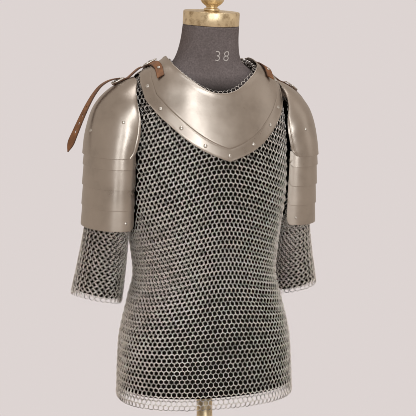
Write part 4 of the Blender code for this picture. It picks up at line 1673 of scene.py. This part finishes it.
def size_number():
    """Plain size number printed on the neck, wrapped on its cloth."""
    words = bpy.data.curves.new("size_number", "FONT")
    words.body = "38"
    words.size = 0.034
    words.space_character = 1.25
    words.align_x = "CENTER"
    words.align_y = "CENTER"
    words.offset = -0.0006
    words.resolution_u = 6
    holder = bpy.data.objects.new("size_number_text", words)
    bpy.context.scene.collection.objects.link(holder)
    graph = bpy.context.evaluated_depsgraph_get()
    mesh = bpy.data.meshes.new_from_object(holder.evaluated_get(graph))
    bpy.data.objects.remove(holder, do_unlink=True)
    bm = bmesh.new()
    bm.from_mesh(mesh)
    bpy.data.meshes.remove(mesh)
    bmesh.ops.triangulate(bm, faces=bm.faces)
    long_edges = [edge for edge in bm.edges if edge.calc_length() > 0.003]
    bmesh.ops.subdivide_edges(bm, edges=long_edges, cuts=2)
    for vert in bm.verts:
        height = 0.090 + vert.co.y
        level = np.array([height])
        radius = float(neck_table.read(height, 1))
        phi = np.array([math.radians(8.5) + vert.co.x / radius])
        point = lean_forward(body_surface(level, phi, neck_table)[0], height)
        vert.co = Vector(point + body_outward(level, phi, neck_table)[0] * 0.0005)
    bmesh.ops.solidify(bm, geom=list(bm.faces), thickness=0.0003)
    bmesh.ops.recalc_face_normals(bm, faces=bm.faces)
    finish_bmesh("neck_size_number", bm, white_print(), smooth=False)


def soft_light(name, place, target, size, power, color=(1.0, 1.0, 1.0)):
    lamp = bpy.data.lights.new(name, "AREA")
    lamp.shape = "RECTANGLE"
    lamp.size = size[0]
    lamp.size_y = size[1]
    lamp.energy = power
    lamp.color = color
    holder = bpy.data.objects.new(name, lamp)
    holder.location = place
    direction = Vector(target) - Vector(place)
    holder.rotation_euler = direction.to_track_quat("-Z", "Y").to_euler()
    bpy.context.scene.collection.objects.link(holder)


def pale_floor(scene, ground):
    """A round floor that fades into the backdrop."""
    bm = bmesh.new()
    bmesh.ops.create_circle(bm, cap_ends=True, segments=96, radius=3.4)
    mesh = bpy.data.meshes.new("pale_floor")
    bm.to_mesh(mesh)
    bm.free()
    floor = bpy.data.objects.new("pale_floor", mesh)
    scene.collection.objects.link(floor)
    made, tree, shader, place = new_material("pale_floor")
    dust = noise_node(tree, place, 5.0, 4.0)
    reach = tree.nodes.new("ShaderNodeVectorMath")
    reach.operation = "LENGTH"
    tree.links.new(place, reach.inputs[0])
    looks = {
        "Base Color": ramp_node(tree, dust, [(0.3, tint(ground, 0.97)), (0.7, ground)]),
        "Alpha": range_node(tree, reach.outputs["Value"], 1.0, 0.0, 0.7, 2.1, "SMOOTHSTEP"),
        "Roughness": 0.8,
        "Specular IOR Level": 0.2,
    }
    feed(tree, shader.inputs, looks)
    mesh.materials.append(made)


def pale_room(ground):
    """A backdrop in the floor's colour for the camera, and a warmer, dimmer room for reflections."""
    world = bpy.data.worlds.new("pale_room")
    world.use_nodes = True
    nodes = world.node_tree.nodes
    backdrop = nodes["Background"]
    backdrop.inputs["Color"].default_value = (ground[0], ground[1], ground[2], 1.0)
    backdrop.inputs["Strength"].default_value = 1.0
    room = nodes.new("ShaderNodeBackground")
    room.inputs["Color"].default_value = (0.54, 0.465, 0.40, 1.0)
    room.inputs["Strength"].default_value = 1.0
    rays = nodes.new("ShaderNodeLightPath")
    blend = nodes.new("ShaderNodeMixShader")
    links = world.node_tree.links
    links.new(rays.outputs["Is Camera Ray"], blend.inputs["Fac"])
    links.new(room.outputs["Background"], blend.inputs[1])
    links.new(backdrop.outputs["Background"], blend.inputs[2])
    links.new(blend.outputs["Shader"], nodes["World Output"].inputs["Surface"])
    return world


def studio_camera(scene):
    """The photograph's camera, a little to the wearer's right and looking slightly down."""
    lens = bpy.data.cameras.new("studio_camera")
    lens.sensor_width = film_width
    lens.lens = focal_pixels / photo_pixels * film_width
    lens.clip_end = 60.0
    camera = bpy.data.objects.new("studio_camera", lens)
    ahead = Vector((math.sin(camera_yaw), math.cos(camera_yaw), 0.0))
    right = Vector((math.cos(camera_yaw), -math.sin(camera_yaw), 0.0))
    level = Vector((0, 0, eye_height - camera_drop))
    camera.location = -camera_away * ahead + camera_right * right + level
    gaze = ahead * math.cos(camera_pitch) - Vector((0, 0, math.sin(camera_pitch)))
    camera.rotation_euler = gaze.to_track_quat("-Z", "Y").to_euler()
    scene.collection.objects.link(camera)
    scene.camera = camera


class MAILSHIRT_OT_stage(bpy.types.Operator):
    """Lay the pale floor, hang the soft lights and set the camera"""

    bl_idname = "mailshirt.stage"
    bl_label = "Stage"

    def execute(self, context):
        scene = bpy.context.scene
        ground = plate_sizes().ground
        pale_floor(scene, ground)
        scene.world = pale_room(ground)
        scene.view_settings.view_transform = "Standard"
        scene.cycles.filter_width = 0.9
        soft_light("key_box", (0.0, -2.9, 2.0), (0, 0, 1.2), (0.42, 2.2), 21.0, (0.94, 0.98, 1.0))
        soft_light("side_box", (-1.15, -2.7, 1.65), (0, 0, 1.15), (0.40, 1.9), 9.0, (0.92, 0.97, 1.0))
        soft_light("right_box", (2.6, -1.0, 2.0), (0, 0, 1.1), (1.2, 1.8), 2.0, (1.0, 0.98, 0.95))
        soft_light("top_box", (0.2, -0.4, 3.4), (0, 0, 1.2), (1.6, 1.2), 12.0)
        studio_camera(scene)
        return {"FINISHED"}


class MAILSHIRT_PT_panel(bpy.types.Panel):
    """Lists the steps of dressing the shirt"""

    bl_idname = "MAILSHIRT_PT_panel"
    bl_label = "Mail Shirt"
    bl_space_type = "VIEW_3D"
    bl_region_type = "UI"
    bl_category = "Mail Shirt"

    def draw(self, context):
        for step in steps:
            self.layout.operator(step.bl_idname)
        for group in (context.scene.mail_sizes, context.scene.plate_sizes):
            for key in group.bl_rna.properties.keys():
                if key not in ("rna_type", "name"):
                    self.layout.prop(group, key)


steps = (
    MAILSHIRT_OT_stage,
    MAILSHIRT_OT_dress_form,
    MAILSHIRT_OT_knit_body,
    MAILSHIRT_OT_knit_sleeves,
    MAILSHIRT_OT_gorget,
    MAILSHIRT_OT_pauldrons,
    MAILSHIRT_OT_straps,
)


def register():
    bpy.utils.register_class(MailSizes)
    bpy.utils.register_class(PlateSizes)
    bpy.types.Scene.mail_sizes = bpy.props.PointerProperty(type=MailSizes)
    bpy.types.Scene.plate_sizes = bpy.props.PointerProperty(type=PlateSizes)
    for step in steps:
        bpy.utils.register_class(step)
    bpy.utils.register_class(MAILSHIRT_PT_panel)


def unregister():
    bpy.utils.unregister_class(MAILSHIRT_PT_panel)
    for step in reversed(steps):
        bpy.utils.unregister_class(step)
    del bpy.types.Scene.plate_sizes
    del bpy.types.Scene.mail_sizes
    bpy.utils.unregister_class(PlateSizes)
    bpy.utils.unregister_class(MailSizes)


def main():
    register()
    bpy.ops.mailshirt.stage()
    bpy.ops.mailshirt.dress_form()
    bpy.ops.mailshirt.knit_body()
    bpy.ops.mailshirt.knit_sleeves()
    bpy.ops.mailshirt.gorget()
    bpy.ops.mailshirt.pauldrons()
    bpy.ops.mailshirt.straps()
    bpy.context.view_layer.update()


if __name__ == "__main__":
    main()
